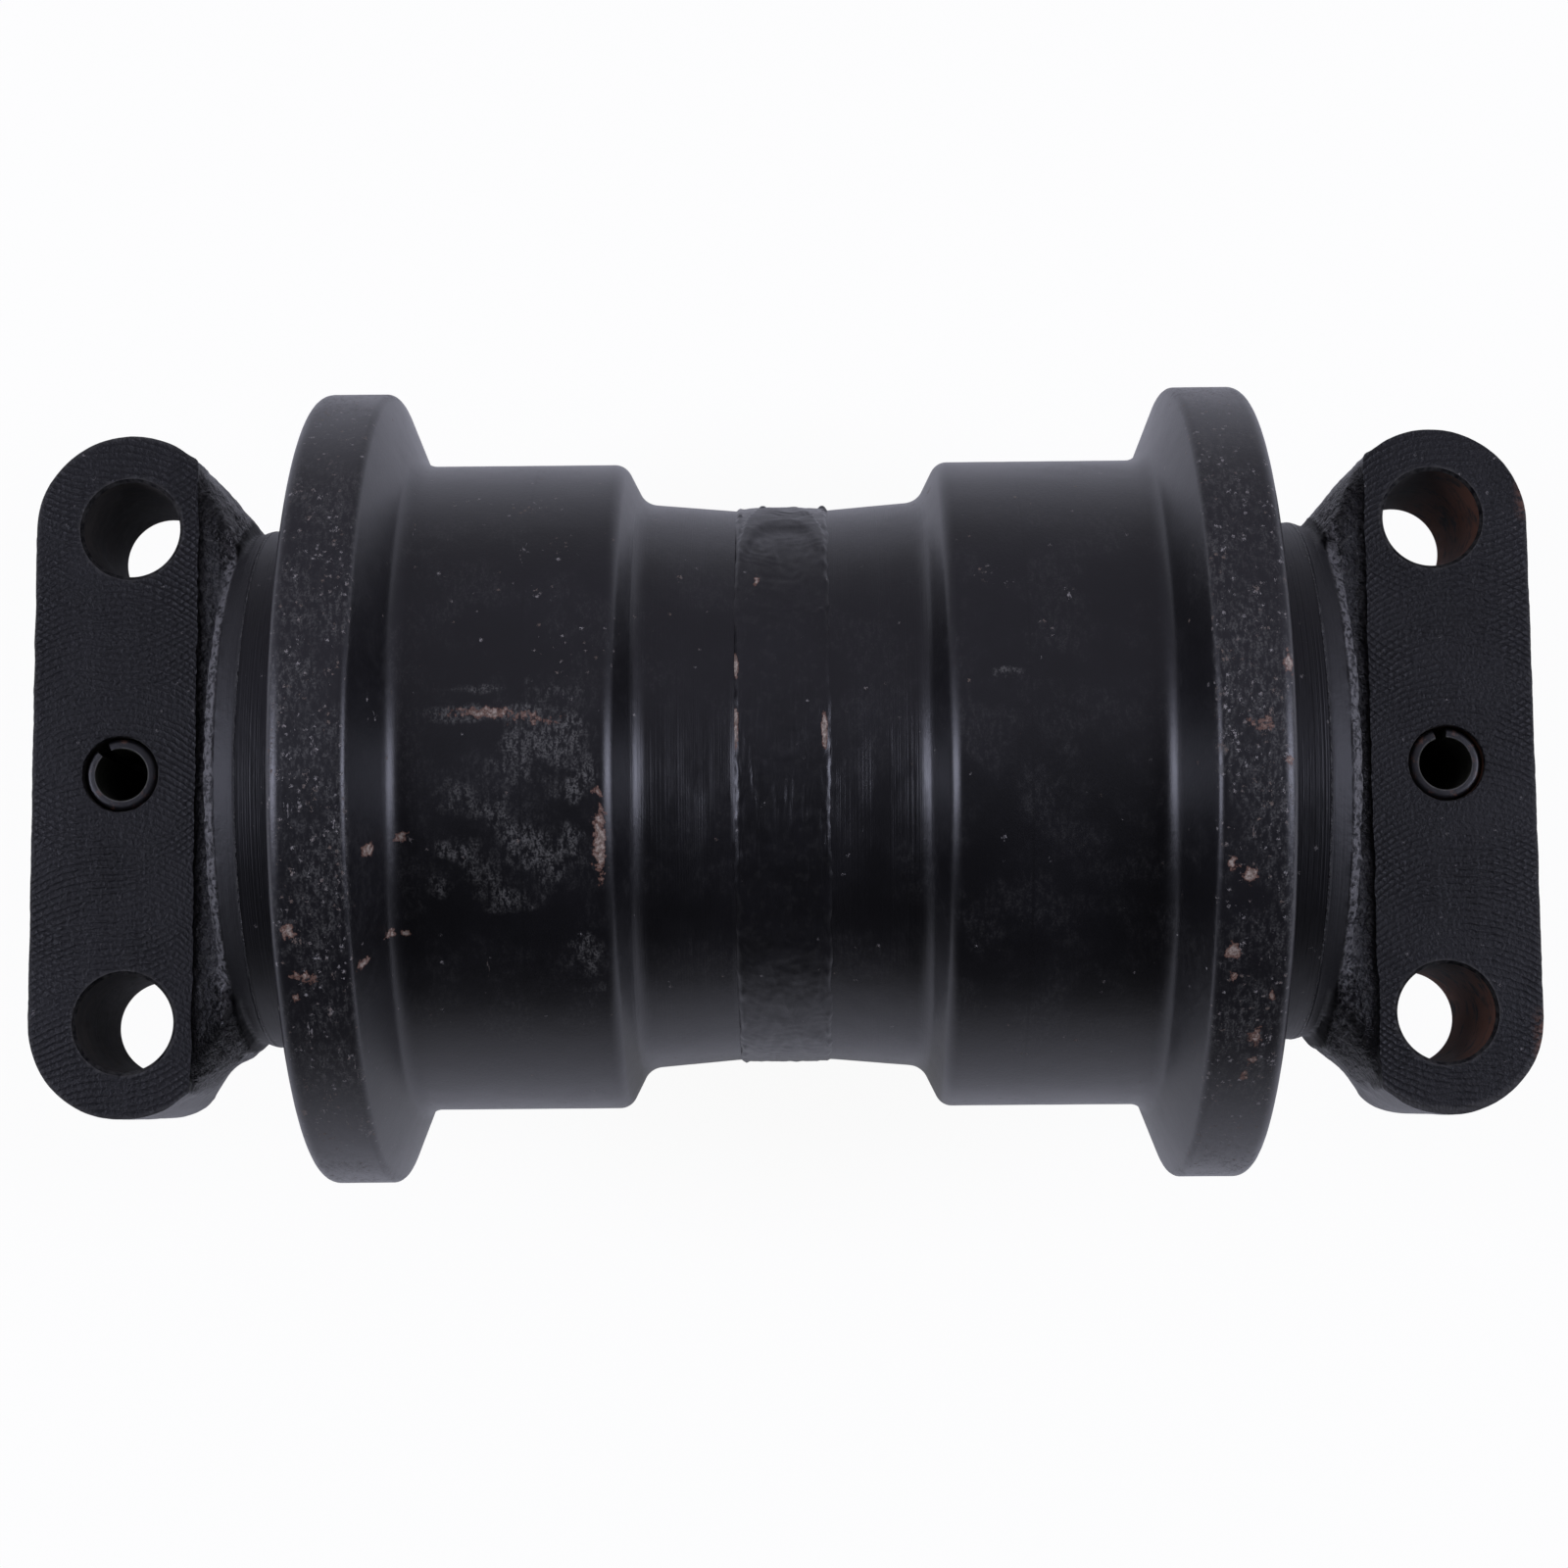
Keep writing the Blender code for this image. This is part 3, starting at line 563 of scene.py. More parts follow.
def round_flanks(mesh):
    """Rounds the casting off where its flanks run from the disc to the ears."""
    bm = bmesh.new()
    bm.from_mesh(mesh)
    low, high = FLANK_ROUND_Y
    verts = [v for v in bm.verts
             if abs(v.co.x) > FLANK_ROUND_X and low < v.co.y < high and v.co.z < FLANK_ROUND_Z]
    for _ in range(FLANK_ROUNDING):
        bmesh.ops.smooth_vert(
            bm, verts=verts, factor=0.5, use_axis_x=True, use_axis_y=True, use_axis_z=True)
    bm.normal_update()
    bm.to_mesh(mesh)
    bm.free()


def roughen(mesh, seed):
    """Gives the casting its lumps and grain, and draws its flanks in."""
    normals = [v.normal.copy() for v in mesh.vertices]
    for v, normal in zip(mesh.vertices, normals):
        place = v.co / MM
        on_ear = smooth(v.co.y, *EAR_CALM_Y)
        on_flank = smooth(abs(v.co.x), FLANK_OUTER_X, FLANK_OUTER_X + FLANK_DRAFT)
        on_rim = math.exp(-((v.co.y - RIM_Y) / RIM_WIDTH) ** 2)
        lumps = noise.noise(place * LUMP_SCALE + seed) * CAST_LUMPS * (1 - LUMPS_LOST_ON_EAR * on_ear)
        grain = noise.fractal(place * ROUGH_SCALE + seed, *ROUGH_FRACTAL) * CAST_ROUGHNESS
        grain += noise.noise(place * GRAIN_SCALE + seed) * CAST_GRAIN
        grain *= (1 - FLANK_CALM * on_flank) * (1 + RIM_GRAIN * on_rim - GRAIN_LOST_ON_EAR * on_ear)
        v.co += normal * (lumps + grain) * smooth(v.co.y, *NECK_CALM_Y)
        draft = FLANK_DRAFT * math.exp(-((v.co.y - FLANK_DRAFT_Y) / FLANK_DRAFT_REACH) ** 2)
        draft *= 1 - smooth(v.co.z, EAR_BOTTOM_Z, FLANK_DRAFT_TOP_Z)
        draft *= smooth(abs(v.co.x), FLANK_INNER_X, FLANK_OUTER_X)
        v.co.x -= math.copysign(draft, v.co.x)


def cast_body(side):
    """The collar as it leaves the mould: a disc, an ear block, gussets between them and half a hub."""
    bm = bmesh.new()
    start, end = EAR_ARC
    arc = [start + (end - start) * step / EAR_STEPS for step in range(EAR_STEPS + 1)]
    ear = [(BOLT_X + EAR_RADIUS * math.cos(a), BOLT_Y + EAR_RADIUS * math.sin(a)) for a in arc]
    flank = [(x * MM, y * MM) for x, y in FLANK]
    pad_half = ear + flank[:1] + [(flank[1][0], PAD_INNER_Y)]
    off = EAR_SHIFT[side]
    pad = [(off + x, y) for x, y in pad_half] + [(off - x, y) for x, y in reversed(pad_half)]
    prism(bm, pad, EAR_BOTTOM_Z, PAD_Z + MILL_STOCK)
    for sign in (1, -1):
        points = [(off + sign * x, y, z) for x, y in flank for z in (EAR_BOTTOM_Z, FLANK_TOP_Z)]
        points += [(sign * x * MM, y * MM, GUSSET_TOP_Z - drop * MM) for x, y, drop in GUSSET_CORNERS]
        points += [(sign * x, y, z) for x, y, z in (
            (GUSSET_INNER_X, GUSSET_TOP_Y, GUSSET_TOP_Z),
            (GUSSET_INNER_X, GUSSET_END_Y, GUSSET_TOP_Z),
            (GUSSET_OUTER_X, GUSSET_END_Y, GUSSET_TOP_Z),
            (GUSSET_INNER_X, GUSSET_FOOT_Y, EAR_BOTTOM_Z),
            (GUSSET_INNER_X, GUSSET_END_Y, EAR_BOTTOM_Z),
            (GUSSET_OUTER_X, GUSSET_END_Y, EAR_BOTTOM_Z),
        )]
        hull(bm, points)
    box(bm, (-GUSSET_INNER_X - MM, GUSSET_TOP_Y, EAR_BOTTOM_Z),
        (GUSSET_INNER_X + MM, GUSSET_END_Y, GUSSET_TOP_Z))
    lathe(bm, [
        (COLLAR_Y - CAST_LEAD, CAST_CORE),
        (COLLAR_Y - CAST_LEAD, NECK_RADIUS + TURN_STOCK),
        (NECK_END_Y + NECK_RUNOUT, NECK_RADIUS + NECK_RISE),
        (DISC_EDGE_Y - DISC_BEVEL_IN, NECK_RADIUS - CONE_DROP),
        (DISC_EDGE_Y + DISC_BEVEL_OUT, NECK_RADIUS - CONE_DROP - DISC_BEVEL_DROP),
        (DISC_BACK_Y, CHANNEL_Z),
        (DISC_BACK_Y, CAST_CORE),
    ])
    half = [math.pi * step / HUB_STEPS for step in range(HUB_STEPS + 1)]
    hub = [(-HUB_RADIUS * math.cos(a), -HUB_RADIUS * math.sin(a)) for a in half]
    hub += [(HUB_RADIUS, HUB_TOP_Z), (-HUB_RADIUS, HUB_TOP_Z)]
    bridged(bm, *([bm.verts.new((x, y, z)) for x, z in hub] for y in (HUB_START_Y, HUB_END_Y)))
    item = new_object("collar_" + side, mesh_from(bm, "collar_" + side))
    remesh = item.modifiers.new("remesh", "REMESH")
    remesh.mode = "VOXEL"
    remesh.voxel_size = VOXEL
    soften = item.modifiers.new("soften", "SMOOTH")
    soften.factor = 0.5
    soften.iterations = CAST_SMOOTHING
    evaluated(item)
    round_flanks(item.data)
    roughen(item.data, CAST_SEED[side])
    return item


def cutter(name, make, material):
    """A solid that will be cut away, whose material the cut faces take."""
    bm = bmesh.new()
    make(bm)
    item = new_object(name, mesh_from(bm, name))
    item.data.materials.append(material)
    return item


HOLE_CHAMFER = 0.6 * MM
PIN_HOLE_CHAMFER = 0.2 * MM
CHAMFER_TOP_Z = PAD_Z + 0.01 * MM
NECK_CUT_LEAN = 0.3 * MM
NECK_STEPS = 256
BOLT_HOLE_STEPS = 96
PIN_HOLE_STEPS = 72
FAR = 60 * MM


def chamfered(radius, chamfer):
    """The upper outline of a hole in the pad, from its wall to far above its chamfer."""
    return [(PAD_Z - chamfer, radius), (CHAMFER_TOP_Z, radius + chamfer), (FAR, radius + chamfer), (FAR, 0)]


def collar_piece(side, cast, milled, turned, bored):
    """A collar: the casting with its pad milled, its neck turned and its holes drilled."""
    item = cast_body(side)
    item.data.materials.append(cast)
    inner = COLLAR_Y - FAR
    outer = OUTER_Y + FAR
    wide = NECK_RADIUS + FAR

    def pad(bm):
        box(bm, (-2 * FAR, DISC_BACK_Y + MM, PAD_Z), (2 * FAR, outer, PAD_Z + FAR))

    def neck(bm):
        lathe(bm, [(inner, NECK_RADIUS), (NECK_END_Y, NECK_RADIUS), (NECK_END_Y + NECK_CUT_LEAN, wide),
                   (inner, wide)], steps=NECK_STEPS)

    def seat(bm):
        lathe(bm, [(inner, BOSS_RADIUS), (COLLAR_SEAL_Y, BOSS_RADIUS), (COLLAR_SEAL_Y, SEAL_SEAT),
                   (COLLAR_Y, SEAL_SEAT), (COLLAR_Y, wide), (inner, wide)])

    def bore(bm):
        lathe(bm, [(inner, 0), (inner, COLLAR_BORE), (outer, COLLAR_BORE), (outer, 0)])

    def holes(bm):
        bolt_hole = [(-FAR, 0), (-FAR, SPOT_FACE_RADIUS), (SPOT_FACE_Z, SPOT_FACE_RADIUS),
                     (SPOT_FACE_Z, BOLT_HOLE_RADIUS)] + chamfered(BOLT_HOLE_RADIUS, HOLE_CHAMFER)
        for x in (-BOLT_X, BOLT_X):
            lathe(bm, bolt_hole, axis="Z", centre=(x, BOLT_Y, 0), steps=BOLT_HOLE_STEPS)
        pin_hole = [(-FAR, 0), (-FAR, PIN_HOLE)] + chamfered(PIN_HOLE, PIN_HOLE_CHAMFER)
        lathe(bm, pin_hole, axis="Z", centre=(0, PIN_Y, 0), steps=PIN_HOLE_STEPS)

    cuts = (("cut_pad", pad, milled), ("cut_neck", neck, turned), ("cut_seat", seat, turned),
            ("cut_bore", bore, bored), ("cut_holes", holes, bored))
    cutters = [cutter(*cut) for cut in cuts]
    for tool in cutters:
        cut = item.modifiers.new(tool.name, "BOOLEAN")
        cut.operation = "DIFFERENCE"
        cut.solver = "MANIFOLD"
        cut.material_mode = "TRANSFER"
        cut.object = tool
    evaluated(item)
    for tool in cutters:
        bpy.data.objects.remove(tool, do_unlink=True)
    item.data.shade_smooth()
    item.data.set_sharp_from_angle(angle=SHARP_ANGLE)
    if side == "left":
        item.data.transform(HALF_TURN)
    return item


PIN_STEPS = 72
PIN_CHAMFER = 0.5 * MM
PIN_SHOULDER = 0.9 * MM
PIN_LIP = 0.14 * MM
SHOULDER_STEPS = 5
PIN_SLOT_FACING = {"left": math.radians(-145), "right": math.radians(-172)}


def pin_piece(side, outside, bore):
    """A slotted spring pin with its foot chamfered and its top rounded."""
    slot = math.asin(PIN_SLOT / 2 / PIN_RADIUS)
    arc = [slot + (math.tau - 2 * slot) * step / PIN_STEPS for step in range(PIN_STEPS + 1)]
    # (z, how far the outside is drawn in, how far the bore is widened)
    levels = [(PIN_FOOT_Z, PIN_CHAMFER, 0), (PIN_FOOT_Z + 2 * PIN_CHAMFER, 0, 0)]
    for step in range(SHOULDER_STEPS + 1):
        bend = math.pi / 2 * step / SHOULDER_STEPS
        height = PIN_TOP_Z - PIN_SHOULDER * (1 - math.sin(bend))
        widened = PIN_LIP * smooth(height, PIN_TOP_Z - PIN_LIP, PIN_TOP_Z)
        levels.append((height, PIN_SHOULDER * (1 - math.cos(bend)), widened))
    bm = bmesh.new()
    rings = []
    for z, inset, widened in levels:
        outer = PIN_RADIUS - inset
        inner = PIN_BORE + widened
        ring = [(outer * math.cos(a), outer * math.sin(a), z) for a in arc]
        ring += [(inner * math.cos(a), inner * math.sin(a), z) for a in reversed(arc)]
        rings.append([bm.verts.new(point) for point in ring])
    count = len(rings[0])
    half = count // 2
    for index, face in joined(bm, rings[:-1]):
        face.material_index = int(index >= half - 1)
    joined(bm, rings[-2:])
    for ring in (rings[0], rings[-1]):
        for index in range(half - 1):
            bm.faces.new((ring[index], ring[index + 1], ring[count - 2 - index], ring[count - 1 - index]))
    mesh = mesh_from(bm, "pin_" + side)
    mesh.materials.append(outside)
    mesh.materials.append(bore)
    mesh.shade_smooth()
    mesh.set_sharp_from_angle(angle=SHARP_ANGLE)
    turn = Matrix.Rotation(PIN_SLOT_FACING[side], 4, "Z")
    y = PIN_Y if side == "right" else -PIN_Y
    mesh.transform(Matrix.Translation((0, y, 0)) @ turn)
    return new_object("pin_" + side, mesh)


# Materials. Their lengths are in mm, and a pair of numbers is where a smooth rise starts and ends.

CLOUD_RANGE = (0.35, 0.7)
SMOOTHSTEP = {"interpolation_type": "SMOOTHSTEP"}


class Tree:
    """A node tree, built with short calls. Sockets take a number, a colour or an output."""

    def __init__(self, owner):
        owner.use_nodes = True
        self.tree = owner.node_tree
        self.tree.nodes.clear()

    def set(self, socket, value):
        if isinstance(value, bpy.types.NodeSocket):
            self.tree.links.new(value, socket)
        else:
            socket.default_value = value

    def give(self, node, sockets):
        for key, value in sockets.items():
            self.set(node.inputs[key.replace("_", " ")], value)

    def fill(self, node, values, places=(0, 1, 2)):
        for place, value in zip(places, values):
            self.set(node.inputs[place], value)

    def add(self, kind, settings=None, **sockets):
        node = self.tree.nodes.new(kind)
        for key, value in (settings or {}).items():
            setattr(node, key, value)
        self.give(node, sockets)
        return node

    def math(self, operation, *values):
        node = self.add("ShaderNodeMath", {"operation": operation})
        self.fill(node, values)
        return node.outputs[0]

    def plus(self, a, b):
        return self.math("ADD", a, b)

    def minus(self, a, b):
        return self.math("SUBTRACT", a, b)

    def times(self, a, b):
        return self.math("MULTIPLY", a, b)

    def size(self, value):
        return self.math("ABSOLUTE", value)

    def length(self, a, b):
        return self.math("SQRT", self.plus(self.times(a, a), self.times(b, b)))

    def rise(self, value, low, high):
        """0 below low and 1 above high, with a smooth rise between. With low above high it falls instead."""
        node = self.add("ShaderNodeMapRange", SMOOTHSTEP, Value=value, From_Min=low, From_Max=high)
        return node.outputs["Result"]

    def white(self, sheen):
        """1 for camera rays, less for reflections and transmission, and 0 for the rays that light things."""
        path = self.add("ShaderNodeLightPath").outputs
        either = self.math("MAXIMUM", path["Is Glossy Ray"], path["Is Transmission Ray"])
        return self.math("MAXIMUM", path["Is Camera Ray"], self.times(either, sheen))

    def end(self, kind, factor, a, b):
        """Ends the tree with a mix of two shaders."""
        mix = self.add("ShaderNodeMixShader")
        self.fill(mix, (factor, a.outputs[0], b.outputs[0]))
        self.add(kind, Surface=mix.outputs[0])


class Nodes(Tree):
    """The tree of one material of the object."""

    def __init__(self, name):
        self.material = bpy.data.materials.new(name)
        super().__init__(self.material)
        self.shader = self.add("ShaderNodeBsdfPrincipled")
        self.add("ShaderNodeOutputMaterial", Surface=self.shader.outputs[0])
        where = self.add("ShaderNodeTexCoord").outputs["Object"]
        self.place = self.vector("SCALE", where, Scale=1 / MM)
        parts = self.add("ShaderNodeSeparateXYZ", Vector=self.place).outputs
        self.x, self.y, self.z = parts["X"], parts["Y"], parts["Z"]

    def vector(self, operation, *values, **named):
        node = self.add("ShaderNodeVectorMath", {"operation": operation}, **named)
        self.fill(node, values)
        return node.outputs["Value" if operation == "LENGTH" else "Vector"]

    def noise(self, scale, detail=2.0, roughness=0.5, at=None, **more):
        node = self.add("ShaderNodeTexNoise", Scale=scale, Detail=detail, Roughness=roughness, **more)
        self.set(node.inputs["Vector"], self.place if at is None else at)
        return node.outputs["Fac"]

    def lines(self, along, scale, detail):
        """Noise along one number, and so the same all across it."""
        return self.add("ShaderNodeTexNoise", {"noise_dimensions": "1D"}, W=along, Scale=scale,
                        Detail=detail, Roughness=0.6).outputs["Fac"]

    def attribute(self, name):
        return self.add("ShaderNodeAttribute", {"attribute_name": name}).outputs["Fac"]

    def stretched(self, x, y, z):
        return self.vector("MULTIPLY", self.place, (x, y, z))

    def radius(self):
        """The distance from the roller's axis."""
        return self.vector("LENGTH", self.stretched(1, 0, 1))

    def mix(self, factor, a, b):
        node = self.add("ShaderNodeMix", {"data_type": "RGBA"})
        self.fill(node, (factor, a, b), (0, 6, 7))
        return node.outputs[2]

    def clouded(self, cloud, dark, light):
        return self.mix(self.rise(cloud, *CLOUD_RANGE), dark, light)

    def blend(self, factor, a, b):
        node = self.add("ShaderNodeMix", {"data_type": "FLOAT"})
        self.fill(node, (factor, a, b), (0, 2, 3))
        return node.outputs[0]

    def bump(self, height, strength, distance):
        return self.add("ShaderNodeBump", Strength=strength, Distance=distance, Height=height).outputs[0]

    def finish(self, colour, roughness, normal, **sockets):
        sockets.update(Base_Color=colour, Roughness=roughness, Normal=normal)
        self.give(self.shader, sockets)
        return self.material


BLACK = (0.0022, 0.0021, 0.0027, 1)
BLACK_WORN = (0.0052, 0.0050, 0.0062, 1)
PAD_BLACK = (0.0034, 0.0033, 0.0040, 1)
PAD_WORN = (0.0066, 0.0063, 0.0074, 1)
DUST = (0.086, 0.084, 0.076, 1)
GRIT = (0.34, 0.32, 0.30, 1)
TAN = (0.165, 0.122, 0.092, 1)
TAN_PALE = (0.40, 0.335, 0.27, 1)
RUST = (0.115, 0.052, 0.032, 1)
# Pale grey for the grain on the disc's rim: paint wear, and partly a painted highlight.
RIM_WEAR_AND_GLINT_GREY = (0.12, 0.118, 0.116, 1)
BORE_RUST = (0.19, 0.085, 0.052, 1)
BORE_DARK = (0.030, 0.028, 0.026, 1)
BORE_PALE = (0.066, 0.059, 0.052, 1)
SCALE_DARK = (0.050, 0.052, 0.040, 1)
SCALE_PALE = (0.075, 0.076, 0.062, 1)
STEEL_DARK = (0.28, 0.28, 0.285, 1)
STEEL_PALE = (0.42, 0.42, 0.43, 1)
BRONZE_DARK = (0.38, 0.22, 0.09, 1)
BRONZE_PALE = (0.52, 0.32, 0.14, 1)
IRON_DARK = (0.14, 0.135, 0.13, 1)
IRON_PALE = (0.24, 0.235, 0.23, 1)
RUBBER_DARK = (0.012, 0.012, 0.012, 1)
RUBBER_PALE = (0.028, 0.027, 0.026, 1)


def bare_spots(n, colour, roughness):
    """Covers a paint with the tan bare metal that shows at its marks, ragged and partly rusty at the edge."""
    ragged = n.times(n.minus(n.noise(0.9, 5, 0.65), 0.5), 1.6)
    reach = n.plus(n.attribute("bare"), ragged)
    bare = n.rise(reach, 0.40, 0.52)
    inner = n.rise(reach, 0.46, 0.80)
    tan = n.mix(n.rise(n.noise(1.5, 4, 0.65), 0.38, 0.62), TAN, TAN_PALE)
    tan = n.mix(inner, RUST, tan)
    return n.mix(n.times(bare, 0.88), colour, tan), n.blend(bare, roughness, 0.62)


def flecks(n, scale, share, size, at):
    """Ragged flecks, one in a share of the cells that the scale gives, with sizes up to a share of a cell."""
    wobble = n.add("ShaderNodeTexNoise", Scale=scale * 3.2, Detail=2.0, Roughness=0.6, Vector=at)
    wobble = n.vector("SUBTRACT", wobble.outputs["Color"], (0.5, 0.5, 0.5))
    wobble = n.vector("SCALE", wobble, Scale=1.9 / scale)
    cells = n.add("ShaderNodeTexVoronoi", Scale=scale, Vector=n.vector("ADD", at, wobble))
    chance = n.add("ShaderNodeSeparateColor", Color=cells.outputs["Color"])
    limit = n.times(chance.outputs[1], size)
    inside = n.rise(n.minus(cells.outputs["Distance"], limit), 0.0, -0.10)
    chosen = n.math("LESS_THAN", chance.outputs[0], share)
    return n.times(inside, chosen)


def turning_lines(n, pitch_scale):
    """Fine lines round the axis, broken up so that no line runs all the way."""
    line = n.lines(n.y, pitch_scale, 2.0)
    broken = n.noise(0.22, 3, 0.6, at=n.stretched(0.3, 1.0, 0.3))
    return n.times(line, n.rise(broken, 0.30, 0.62))


RIM_RADII = (72.6, 73.7)
TREAD_FLOOR = (59.6, 60.4)
TREAD_TOP = (62.2, 61.2)
WAIST_RADII = (56.5, 54.2)
GROOVES = (-44.4, 42.6)
GROOVE_EDGE = (0.34, 0.10)


def shell_paint():
    """Black paint on turned steel: turning lines, scuffs, dust, and flecks that crowd the flange rims."""
    n = Nodes("black_paint_on_turned_steel")
    radius = n.radius()
    on_rim = n.rise(radius, *RIM_RADII)
    on_tread = n.times(n.rise(radius, *TREAD_FLOOR), n.rise(radius, *TREAD_TOP))
    low_ground = n.rise(radius, *WAIST_RADII)
    cloud = n.noise(0.05, 5, 0.65)
    colour = n.clouded(cloud, BLACK, BLACK_WORN)
    colour = n.mix(n.times(on_rim, 0.9), colour, PAD_WORN)
    blot = n.noise(1.25, 4, 0.65, at=n.stretched(0.5, 1.0, 0.5))
    fleck = n.noise(2.8, 3, 0.6)
    patch = n.noise(0.16, 4, 0.6)
    scuff = n.attribute("scuff")
    film = n.plus(scuff, n.times(n.minus(patch, 0.5), 2.4))
    film = n.times(film, n.rise(scuff, 0.06, 0.30))
    film = n.times(n.rise(film, 0.16, 0.80), n.rise(blot, 0.40, 0.58))
    film = n.times(film, n.rise(fleck, 0.34, 0.62))
    loose = n.rise(n.noise(0.10, 4, 0.6), n.blend(on_rim, 0.44, 0.30), 0.62)
    loose = n.times(loose, n.rise(blot, 0.42, 0.62))
    loose = n.times(loose, n.rise(fleck, 0.35, 0.62))
    haze = n.plus(n.times(on_rim, 0.50), n.times(on_tread, 0.05))
    loose = n.times(loose, n.plus(haze, 0.12))
    film = n.math("MAXIMUM", n.times(film, 0.95), loose)
    colour = n.mix(film, colour, DUST)
    crowd = n.rise(n.noise(0.06, 3, 0.6), 0.38, 0.62)
    crowded = n.blend(crowd, 0.35, 1.0)
    fine_share = n.times(crowded, n.blend(on_rim, 0.010, 0.24))
    fine_share = n.plus(fine_share, n.times(n.attribute("flecked"), 0.42))
    fine = flecks(n, 1.5, fine_share, 0.55, n.place)
    chip_share = n.times(crowded, n.blend(on_rim, 0.006, 0.13))
    chips = flecks(n, 0.7, chip_share, 0.44, n.stretched(0.75, 1.2, 0.75))
    nick_share = n.times(crowded, n.blend(on_rim, 0.006, 0.12))
    nicks = flecks(n, 0.42, nick_share, 0.34, n.stretched(0.45, 1.7, 0.45))
    grit = n.math("MAXIMUM", n.math("MAXIMUM", fine, chips), n.times(nicks, 0.7))
    grit_colour = n.mix(n.rise(n.noise(0.25, 2), 0.42, 0.6), GRIT, TAN)
    colour = n.mix(n.times(grit, n.blend(fleck, 0.25, 0.95)), colour, grit_colour)
    roughness = n.blend(cloud, 0.30, 0.40)
    roughness = n.blend(n.math("MAXIMUM", film, grit), roughness, 0.68)
    colour, roughness = bare_spots(n, colour, roughness)
    for groove in GROOVES:
        near = n.size(n.minus(n.y, groove))
        line = n.times(n.rise(near, *GROOVE_EDGE), n.rise(blot, 0.30, 0.50))
        colour = n.mix(n.times(line, 0.75), colour, BLACK)
    lines = n.times(turning_lines(n, 4.2), n.blend(low_ground, 0.10, 1.0))
    skin = n.noise(1.4, 4, 0.65)
    height = n.plus(lines, n.times(skin, 0.50))
    height = n.plus(height, n.times(grit, 0.40))
    return n.finish(colour, roughness, n.bump(height, 1.0, 0.06 * MM))


def weld_paint():
    """Black paint on weld metal: smooth, with shallow wrinkles and bare slivers at the toes."""
    n = Nodes("black_paint_on_weld")
    cloud = n.noise(0.08, 5, 0.65)
    colour = n.clouded(cloud, BLACK, BLACK_WORN)
    dusty = n.times(n.rise(n.noise(0.6, 4, 0.6), 0.52, 0.66), 0.06)
    colour = n.mix(dusty, colour, DUST)
    grit = flecks(n, 1.3, 0.010, 0.45, n.place)
    colour = n.mix(n.times(grit, 0.45), colour, GRIT)
    colour, roughness = bare_spots(n, colour, n.blend(cloud, 0.31, 0.40))
    wrinkle = n.noise(0.40, 4, 0.6, at=n.stretched(0.22, 1.0, 0.22), Distortion=0.8)
    height = n.plus(wrinkle, n.times(n.noise(1.6, 5, 0.7), 0.15))
    return n.finish(colour, roughness, n.bump(height, 0.9, 0.16 * MM))


# Where the disc's rim, the cone inside it and the parts inboard of the pad lie, along Y and by radius
DISC_RIM_IN = (98.6, 99.6)
DISC_RIM_OUT = (102.6, 100.8)
DISC_RIM_RADII = (40.0, 44.0)
CONE_IN = (95.2, 95.6)
CONE_OUT = (99.6, 98.8)
CONE_RADII = (46.0, 46.6)
INBOARD = (107.5, 105.5)


def cast_paint():
    """Black paint on rough casting, paler on the grain's high points: partly paint wear, and partly a painted
    highlight of light catching the grain, strongest on the disc's rim and inboard of the pad.
    """
    n = Nodes("black_paint_on_casting")
    grain = n.noise(0.95, 4, 0.62)
    cloud = n.noise(0.08, 4, 0.6)
    radius = n.radius()
    out = n.size(n.y)
    rim = n.times(n.rise(out, *DISC_RIM_IN), n.rise(out, *DISC_RIM_OUT))
    rim = n.times(rim, n.rise(radius, *DISC_RIM_RADII))
    cone = n.times(n.rise(out, *CONE_IN), n.rise(out, *CONE_OUT))
    cone = n.times(cone, n.rise(radius, *CONE_RADII))
    rough_part = n.minus(1.0, cone)
    inboard = n.rise(out, *INBOARD)
    colour = n.mix(n.rise(grain, 0.48, 0.70), BLACK, BLACK_WORN)
    colour = n.mix(n.times(cone, 0.8), colour, PAD_BLACK)
    # Painted highlight with some paint wear: the grain's high points on the disc's rim and inboard of the pad
    # are painted paler, standing for light catching the rough casting.
    high = n.rise(n.plus(grain, n.times(rim, 0.08)), 0.50, 0.62)
    high = n.times(high, n.plus(n.times(rim, 0.6), n.blend(inboard, 0.10, 0.36)))
    pale = n.mix(rim, DUST, RIM_WEAR_AND_GLINT_GREY)
    colour = n.mix(n.times(high, rough_part), colour, pale)
    lines = n.times(n.plus(turning_lines(n, 1.2), grain), 0.10)
    height = n.blend(cone, n.times(grain, n.blend(inboard, 0.45, 1.0)), lines)
    roughness = n.blend(cone, n.blend(cloud, 0.34, 0.48), 0.58)
    return n.finish(colour, roughness, n.bump(height, 1.0, 0.9 * MM))


MILL_RADIUS = 26.0
MILL_PITCH = 0.62
MILL_OFFSET = 3.5
PAD_EDGE = (EAR_RADIUS / MM - 1.0, EAR_RADIUS / MM + 0.1)
HOLE_LIP = (BOLT_HOLE_RADIUS / MM + 1.2, BOLT_HOLE_RADIUS / MM + 0.4)
CHIP_X = 52.0
CHIP_REACH = (9.0, 4.0)
CHIP_EDGE = (OUTER_Y / MM - 2.6, OUTER_Y / MM - 0.4)


